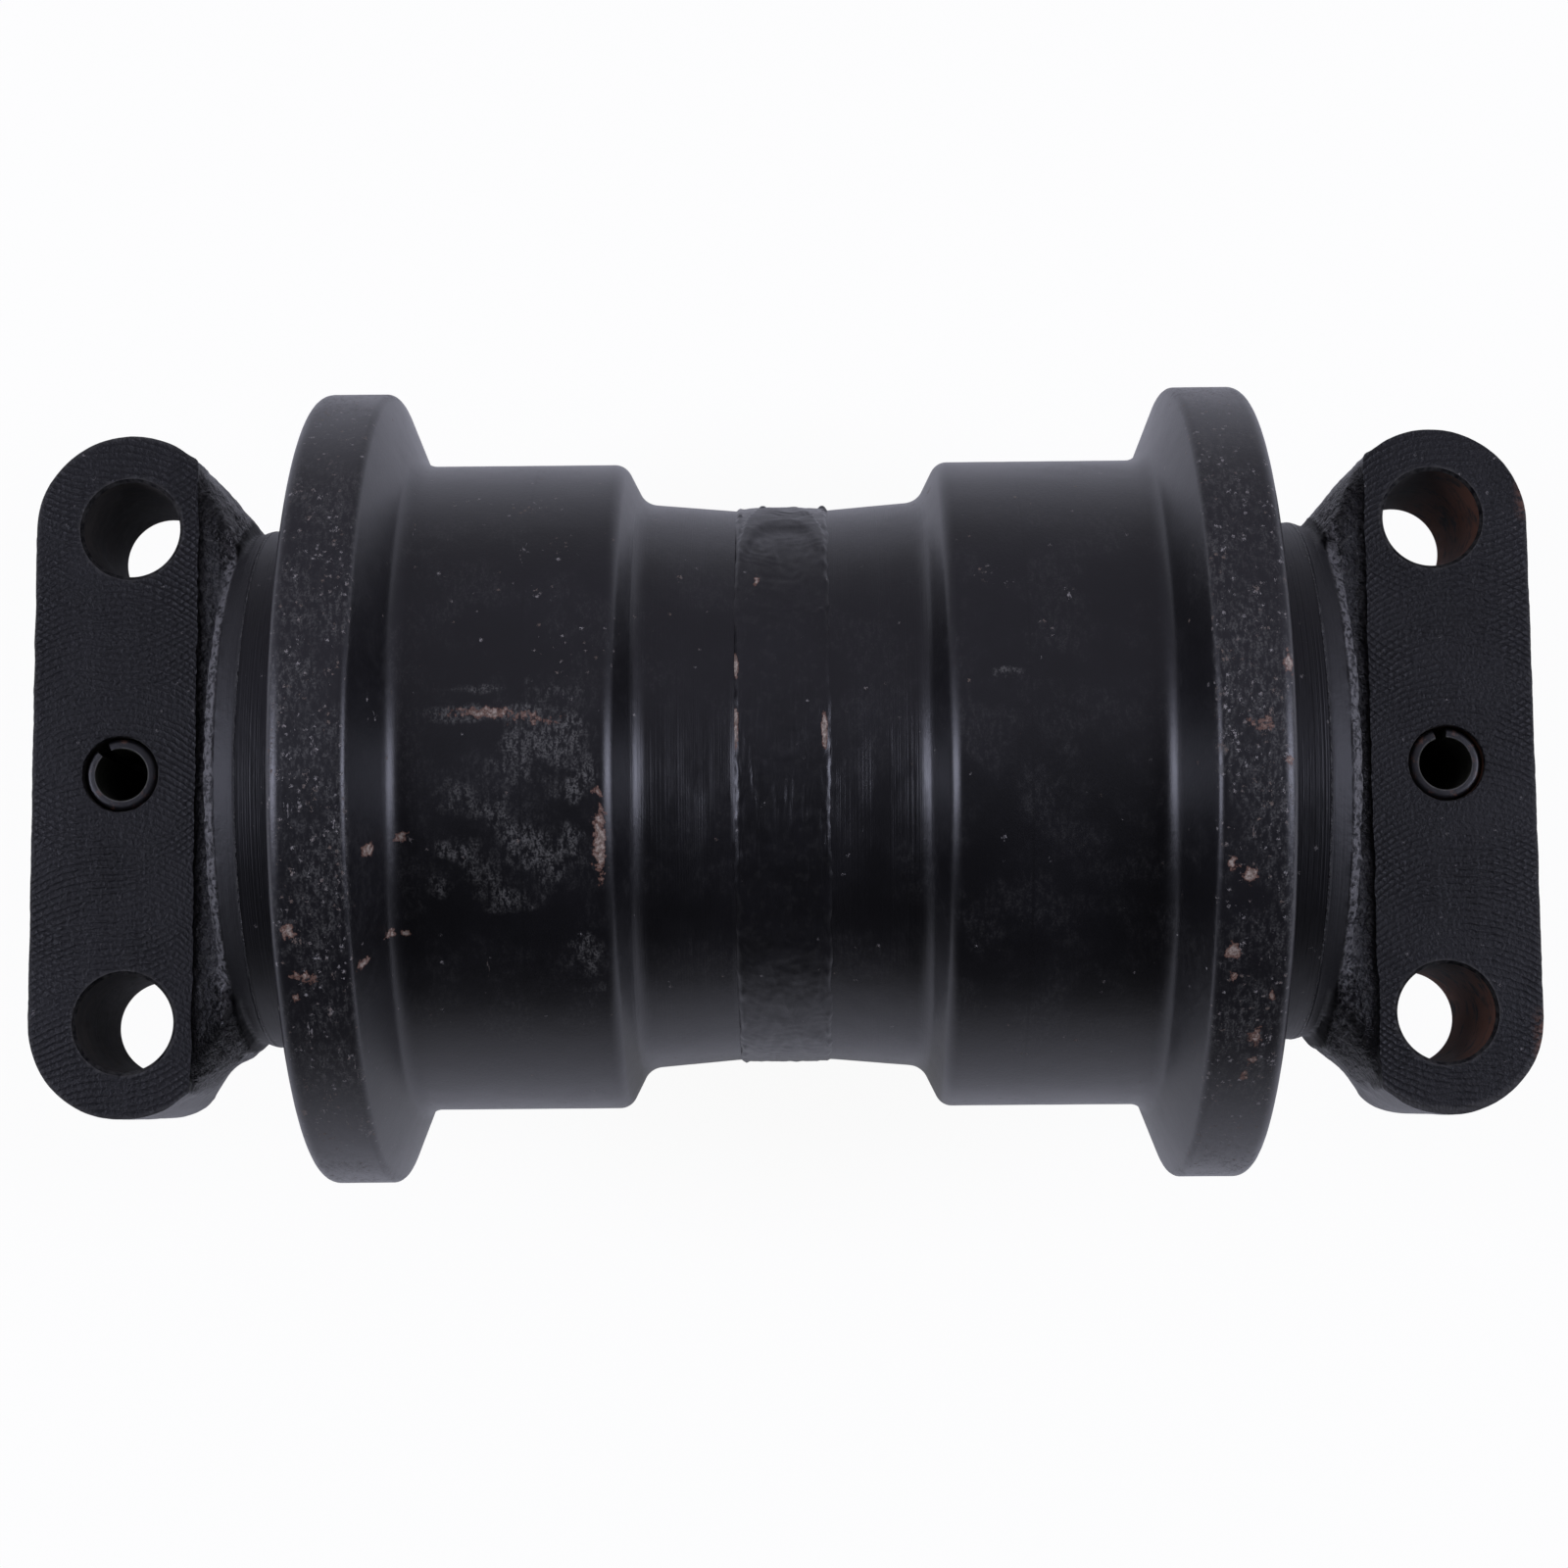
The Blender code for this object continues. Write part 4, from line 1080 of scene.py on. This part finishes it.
def milled_paint():
    """Black paint on a milled pad: crossing arcs from a face mill, specks, a painted glint on the arcs'
    crests, and paler edges and hole lips that are partly paint wear and partly a painted highlight of their
    rounded edge.
    """
    n = Nodes("black_paint_on_milled_pad")
    cloud = n.noise(0.07, 4, 0.6)
    out = n.size(n.y)
    across = n.minus(out, BOLT_Y / MM + MILL_OFFSET)
    sag = n.math("SQRT", n.minus(MILL_RADIUS ** 2, n.times(across, across)))
    jitter = n.math("MULTIPLY_ADD", n.noise(0.9, 3, 0.6), 0.8, n.times(n.noise(0.15, 2, 0.5), 1.4))
    waves = []
    for way in (-1, 1):
        run = n.math("MULTIPLY_ADD", sag, way, n.times(n.x, -1.0))
        run = n.math("DIVIDE", n.plus(run, jitter), MILL_PITCH)
        wave = n.math("PINGPONG", run, 1.0)
        waves.append(n.times(wave, wave))
    crossing = n.rise(n.noise(0.045, 2, 0.5), 0.42, 0.58)
    clear = n.blend(n.rise(n.noise(0.06, 3, 0.6), 0.40, 0.62), 0.40, 1.0)
    height = n.times(waves[0], clear)
    height = n.math("MULTIPLY_ADD", waves[1], n.times(crossing, 0.7), height)
    height = n.math("MULTIPLY_ADD", n.noise(1.3, 4, 0.65), 1.8, height)
    beside = n.minus(n.size(n.x), BOLT_X / MM)
    along = n.minus(out, BOLT_Y / MM)
    to_edge = n.length(n.math("MAXIMUM", beside, 0.0), along)
    to_hole = n.length(beside, along)
    ragged = n.times(n.minus(n.noise(0.6, 4, 0.6), 0.5), 1.6)
    # Painted highlight with paint wear: the pad's edges and the hole lips are painted paler where a rounded
    # edge would catch the light.
    edge = n.rise(n.plus(to_edge, ragged), *PAD_EDGE)
    lip = n.rise(n.plus(to_hole, ragged), *HOLE_LIP)
    worn_and_glint = n.times(n.math("MAXIMUM", edge, n.times(lip, 1.2)), 0.30)
    colour = n.clouded(cloud, PAD_BLACK, PAD_WORN)
    colour = n.mix(worn_and_glint, colour, DUST)
    speckle = n.noise(1.1, 4, 0.65)
    # Painted glint: the crests of the mill marks are painted paler, where light would catch them.
    crest_glint = n.times(n.rise(waves[0], 0.55, 1.0), n.rise(speckle, 0.46, 0.62))
    colour = n.mix(n.times(crest_glint, 0.16), colour, DUST)
    grit = flecks(n, 1.4, 0.016, 0.45, n.place)
    colour = n.mix(n.times(grit, 0.45), colour, GRIT)
    chip_edge = n.times(n.rise(n.y, *CHIP_EDGE), n.rise(speckle, 0.44, 0.56))
    chip_spot = n.size(n.minus(n.size(n.x), CHIP_X))
    chip = n.times(chip_edge, n.rise(chip_spot, *CHIP_REACH))
    colour = n.mix(n.times(chip, 0.8), colour, RUST)
    return n.finish(colour, n.blend(cloud, 0.42, 0.52), n.bump(height, 1.0, 0.095 * MM),
                    Specular_IOR_Level=0.30)


def turned_paint():
    """Black paint on the turned neck and seal seat."""
    n = Nodes("black_paint_on_turned_neck")
    cloud = n.noise(0.07, 4, 0.6)
    colour = n.clouded(cloud, BLACK, BLACK_WORN)
    grit = flecks(n, 1.2, 0.03, 0.5, n.place)
    colour = n.mix(n.times(grit, 0.35), colour, GRIT)
    height = n.plus(turning_lines(n, 3.0), n.times(n.noise(1.4, 5, 0.7), 0.2))
    return n.finish(colour, n.blend(cloud, 0.46, 0.56), n.bump(height, 1.0, 0.10 * MM),
                    Specular_IOR_Level=0.40)


LIP_EDGE = (PAD_Z / MM - 0.7, PAD_Z / MM - 0.55)
RUSTY_Y = (116.0, 127.0)


def bored_steel():
    """The drilled holes: a painted lip, paler in patches as paint wear and partly as a painted highlight,
    thin paint over brown oxide below it, rusted at the right end.
    """
    n = Nodes("drilled_bore")
    cloud = n.noise(0.12, 6, 0.68)
    colour = n.clouded(cloud, BORE_DARK, BORE_PALE)
    rusty = n.times(n.rise(n.y, *RUSTY_Y), n.rise(n.noise(0.25, 5, 0.65), 0.32, 0.52))
    colour = n.mix(n.times(rusty, 0.95), colour, BORE_RUST)
    lip = n.rise(n.z, *LIP_EDGE)
    # Painted highlight with paint wear: the paler patches on the hole's lip.
    worn_and_glint = n.mix(n.times(n.rise(n.noise(0.9, 3, 0.6), 0.30, 0.70), 0.5), PAD_WORN, DUST)
    colour = n.mix(lip, colour, worn_and_glint)
    return n.finish(colour, n.blend(cloud, 0.55, 0.8), n.bump(n.lines(n.z, 1.2, 3.0), 0.6, 0.12 * MM),
                    Specular_IOR_Level=0.03)


PIN_EDGE = (PIN_BORE / MM + 0.34, PIN_BORE / MM + 0.20)
PIN_HOLE_EDGE = (PIN_HOLE / MM + 0.6, PIN_HOLE / MM + 0.4)


def from_pin(n):
    """The distance from the nearer pin's axis."""
    return n.length(n.x, n.minus(n.size(n.y), PIN_Y / MM))


def pin_bore_finish():
    """Dull dark scale inside a spring pin and along its slot."""
    n = Nodes("scaled_spring_steel")
    cloud = n.noise(0.4, 6, 0.7)
    colour = n.clouded(cloud, SCALE_DARK, SCALE_PALE)
    return n.finish(colour, n.blend(cloud, 0.75, 0.95), n.bump(cloud, 0.6, 0.15 * MM), Specular_IOR_Level=0.0)


def pin_finish():
    """Blackened spring steel, worn bright along the inner edge of its ends, with a little rust."""
    n = Nodes("blackened_spring_steel")
    cloud = n.noise(0.4, 6, 0.7)
    colour = n.mix(n.rise(n.noise(0.9, 4, 0.65), 0.42, 0.66), PAD_BLACK, PAD_WORN)
    rusty = n.times(n.rise(n.noise(0.5, 5, 0.7), 0.56, 0.66), 0.6)
    colour = n.mix(rusty, colour, RUST)
    lip = n.rise(from_pin(n), *PIN_EDGE)
    colour = n.mix(n.times(lip, n.rise(n.noise(0.7, 3, 0.6), 0.30, 0.60)), colour, DUST)
    return n.finish(colour, n.blend(cloud, 0.32, 0.46), n.bump(cloud, 0.6, 0.15 * MM))


def shaft_finish():
    """Ground steel, black from its pin holes outwards, where its ends are open to the air."""
    n = Nodes("ground_shaft_with_painted_ends")
    cloud = n.noise(0.3, 6, 0.68)
    out = n.size(n.y)
    end = n.rise(out, COATED_Y / MM, COATED_Y / MM + 0.2)
    steel = n.clouded(cloud, STEEL_DARK, STEEL_PALE)
    coat = n.clouded(cloud, BLACK, BLACK_WORN)
    coat = n.mix(n.times(n.rise(n.noise(0.8, 7, 0.75), 0.55, 0.72), 0.25), coat, DUST)
    dull = n.blend(n.rise(from_pin(n), *PIN_HOLE_EDGE), 0.42, 0.95)
    height = n.times(n.plus(n.lines(n.radius(), 1.4, 3.0), cloud), end)
    return n.finish(n.mix(end, steel, coat), n.blend(end, 0.28, dull), n.bump(height, 0.8, 0.15 * MM),
                    Metallic=n.minus(1.0, end), Specular_IOR_Level=0.2)


def plain_finish(name, dark, light, roughness, metallic, scale=0.4):
    """A clouded finish for a piece that is mostly hidden."""
    n = Nodes(name)
    cloud = n.noise(scale, 5, 0.65)
    colour = n.clouded(cloud, dark, light)
    roughness = n.blend(cloud, roughness - 0.08, roughness + 0.1)
    return n.finish(colour, roughness, n.bump(cloud, 0.15, 0.1 * MM), Metallic=metallic)


# Camera, floor and light

IMAGE_PIXELS = 1600
FOCAL_PIXELS = 3008.6
SENSOR_MM = 36.0
CAMERA_TILT = math.radians(-6.105)
CAMERA_PAN = math.radians(-0.285)
CAMERA_ROLL = math.radians(0.460)
CAMERA_SHIFT = (-0.07 * MM, -0.23 * MM)
CAMERA_DISTANCE = 559.7 * MM
CLIP_START = 10 * MM


def add_camera():
    """The photograph's camera: above the pads, with the roller's axis across the picture."""
    turn = (Matrix.Rotation(CAMERA_ROLL, 3, "Z") @ Matrix.Rotation(CAMERA_TILT, 3, "X")
            @ Matrix.Rotation(CAMERA_PAN, 3, "Y"))
    to_world = Matrix(((0, -1, 0), (1, 0, 0), (0, 0, 1)))
    rest = turn.transposed()
    away = Vector((*CAMERA_SHIFT, -CAMERA_DISTANCE))
    data = bpy.data.cameras.new("camera")
    data.sensor_width = SENSOR_MM
    data.lens = FOCAL_PIXELS / IMAGE_PIXELS * SENSOR_MM
    data.clip_start = CLIP_START
    camera = new_object("camera", data)
    camera.matrix_world = Matrix.Translation(to_world @ (rest @ -away)) @ (to_world @ rest).to_4x4()
    bpy.context.scene.camera = camera


FLOOR_HALF = 4.0
FLOOR_COLOUR = (0.86, 0.86, 0.87, 1)
FLOOR_GLOW = 0.95
FLOOR_SHEEN = 0.22


def add_floor():
    """A pale floor under the object, white to the camera apart from its shadow."""
    bm = bmesh.new()
    bmesh.ops.create_grid(bm, x_segments=1, y_segments=1, size=FLOOR_HALF)
    floor = new_object("floor", mesh_from(bm, "floor"))
    floor.location.z = FLOOR_Z
    material = bpy.data.materials.new("pale_floor")
    tree = Tree(material)
    diffuse = tree.add("ShaderNodeBsdfDiffuse", Color=FLOOR_COLOUR)
    glow = tree.add("ShaderNodeEmission", Strength=1.0)
    tree.end("ShaderNodeOutputMaterial", tree.times(tree.white(FLOOR_SHEEN), FLOOR_GLOW), diffuse, glow)
    floor.data.materials.append(material)


TENT_BACK = 0.37
TENT_FRONT = 0.03
TENT_SHEEN = 0.02
TENT_TINT = (0.95, 0.92, 1.16, 1)
TENT_FALL = (-0.60, 0.30)


def add_world():
    """White to the camera. For light, a tent that is bright behind the object and dim in front of it."""
    world = bpy.data.worlds.new("light_tent")
    bpy.context.scene.world = world
    tree = Tree(world)
    where = tree.add("ShaderNodeTexCoord").outputs["Generated"]
    along = tree.add("ShaderNodeSeparateXYZ", Vector=where).outputs["X"]
    low, high = TENT_FALL
    fall = tree.add("ShaderNodeMapRange", SMOOTHSTEP, Value=along, From_Min=low, From_Max=high,
                    To_Min=TENT_BACK, To_Max=TENT_FRONT)
    tent = tree.add("ShaderNodeBackground", Color=TENT_TINT, Strength=fall.outputs["Result"])
    white = tree.add("ShaderNodeBackground", Color=(1, 1, 1, 1))
    tree.end("ShaderNodeOutputWorld", tree.white(TENT_SHEEN), tent, white)


LAMP_WIDTH = 0.28
LAMP_DEPTH = 0.80
LAMP_DISTANCE = 0.85
LAMP_HEIGHT = 0.62
LAMP_WATTS = 7.4
LAMP_COLOUR = (0.78, 0.80, 1.0)


def add_lamps():
    """A soft lamp off each end of the roller, so that the fillets catch a line of light."""
    for name, way in (("lamp_left", -1), ("lamp_right", 1)):
        data = bpy.data.lights.new(name, "AREA")
        data.shape = "RECTANGLE"
        data.size = LAMP_WIDTH
        data.size_y = LAMP_DEPTH
        data.energy = LAMP_WATTS
        data.color = LAMP_COLOUR
        lamp = new_object(name, data)
        lamp.location = (0, way * LAMP_DISTANCE, LAMP_HEIGHT)
        lamp.rotation_euler = (-lamp.location).to_track_quat("-Z", "Y").to_euler()


# The object

def dress(piece, material, body, slot, *nodes):
    """Puts a finished piece on its body in place of its nodes. A piece with its own materials gets None."""
    if material:
        piece.data.materials.clear()
        piece.data.materials.append(material)
    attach(piece, body)
    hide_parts(*nodes)


def paint_node(name, material):
    """Gives a node that stays in sight its material, without touching its mesh."""
    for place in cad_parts[name].material_slots:
        place.link = "OBJECT"
        place.material = material


paint = shell_paint()
for side in SIDES:
    dress(shell_piece(side), paint, "rolling_side", "shell_paint", "roller_half_" + side)
dress(weld_piece(), weld_paint(), "rolling_side", "weld_paint", "weld_bead")
finishes = (cast_paint(), milled_paint(), turned_paint(), bored_steel())
pin_finishes = (pin_finish(), pin_bore_finish())
for side in SIDES:
    dress(collar_piece(side, *finishes), None, "fixed_side", "collar_paint", "collar_" + side)
    dress(pin_piece(side, *pin_finishes), None, "fixed_side", "pin_steel", "spring_pin_" + side)

bronze = plain_finish("bush_bronze", BRONZE_DARK, BRONZE_PALE, 0.35, 1.0)
iron = plain_finish("seal_iron", IRON_DARK, IRON_PALE, 0.3, 1.0)
rubber = plain_finish("seal_rubber", RUBBER_DARK, RUBBER_PALE, 0.7, 0.0)
plug = plain_finish("painted_plug", BLACK, PAD_WORN, 0.45, 0.0, 0.6)
for side in SIDES:
    paint_node("bush_" + side, bronze)
    for kind in ("rolling", "fixed"):
        paint_node(kind + "_seal_ring_" + side, iron)
        paint_node(kind + "_toric_ring_" + side, rubber)
    paint_node("shaft_o_ring_" + side, rubber)
paint_node("shaft", shaft_finish())
paint_node("oil_plug", plug)

add_camera()
add_floor()
add_world()
add_lamps()
bpy.context.scene.view_settings.view_transform = "Standard"
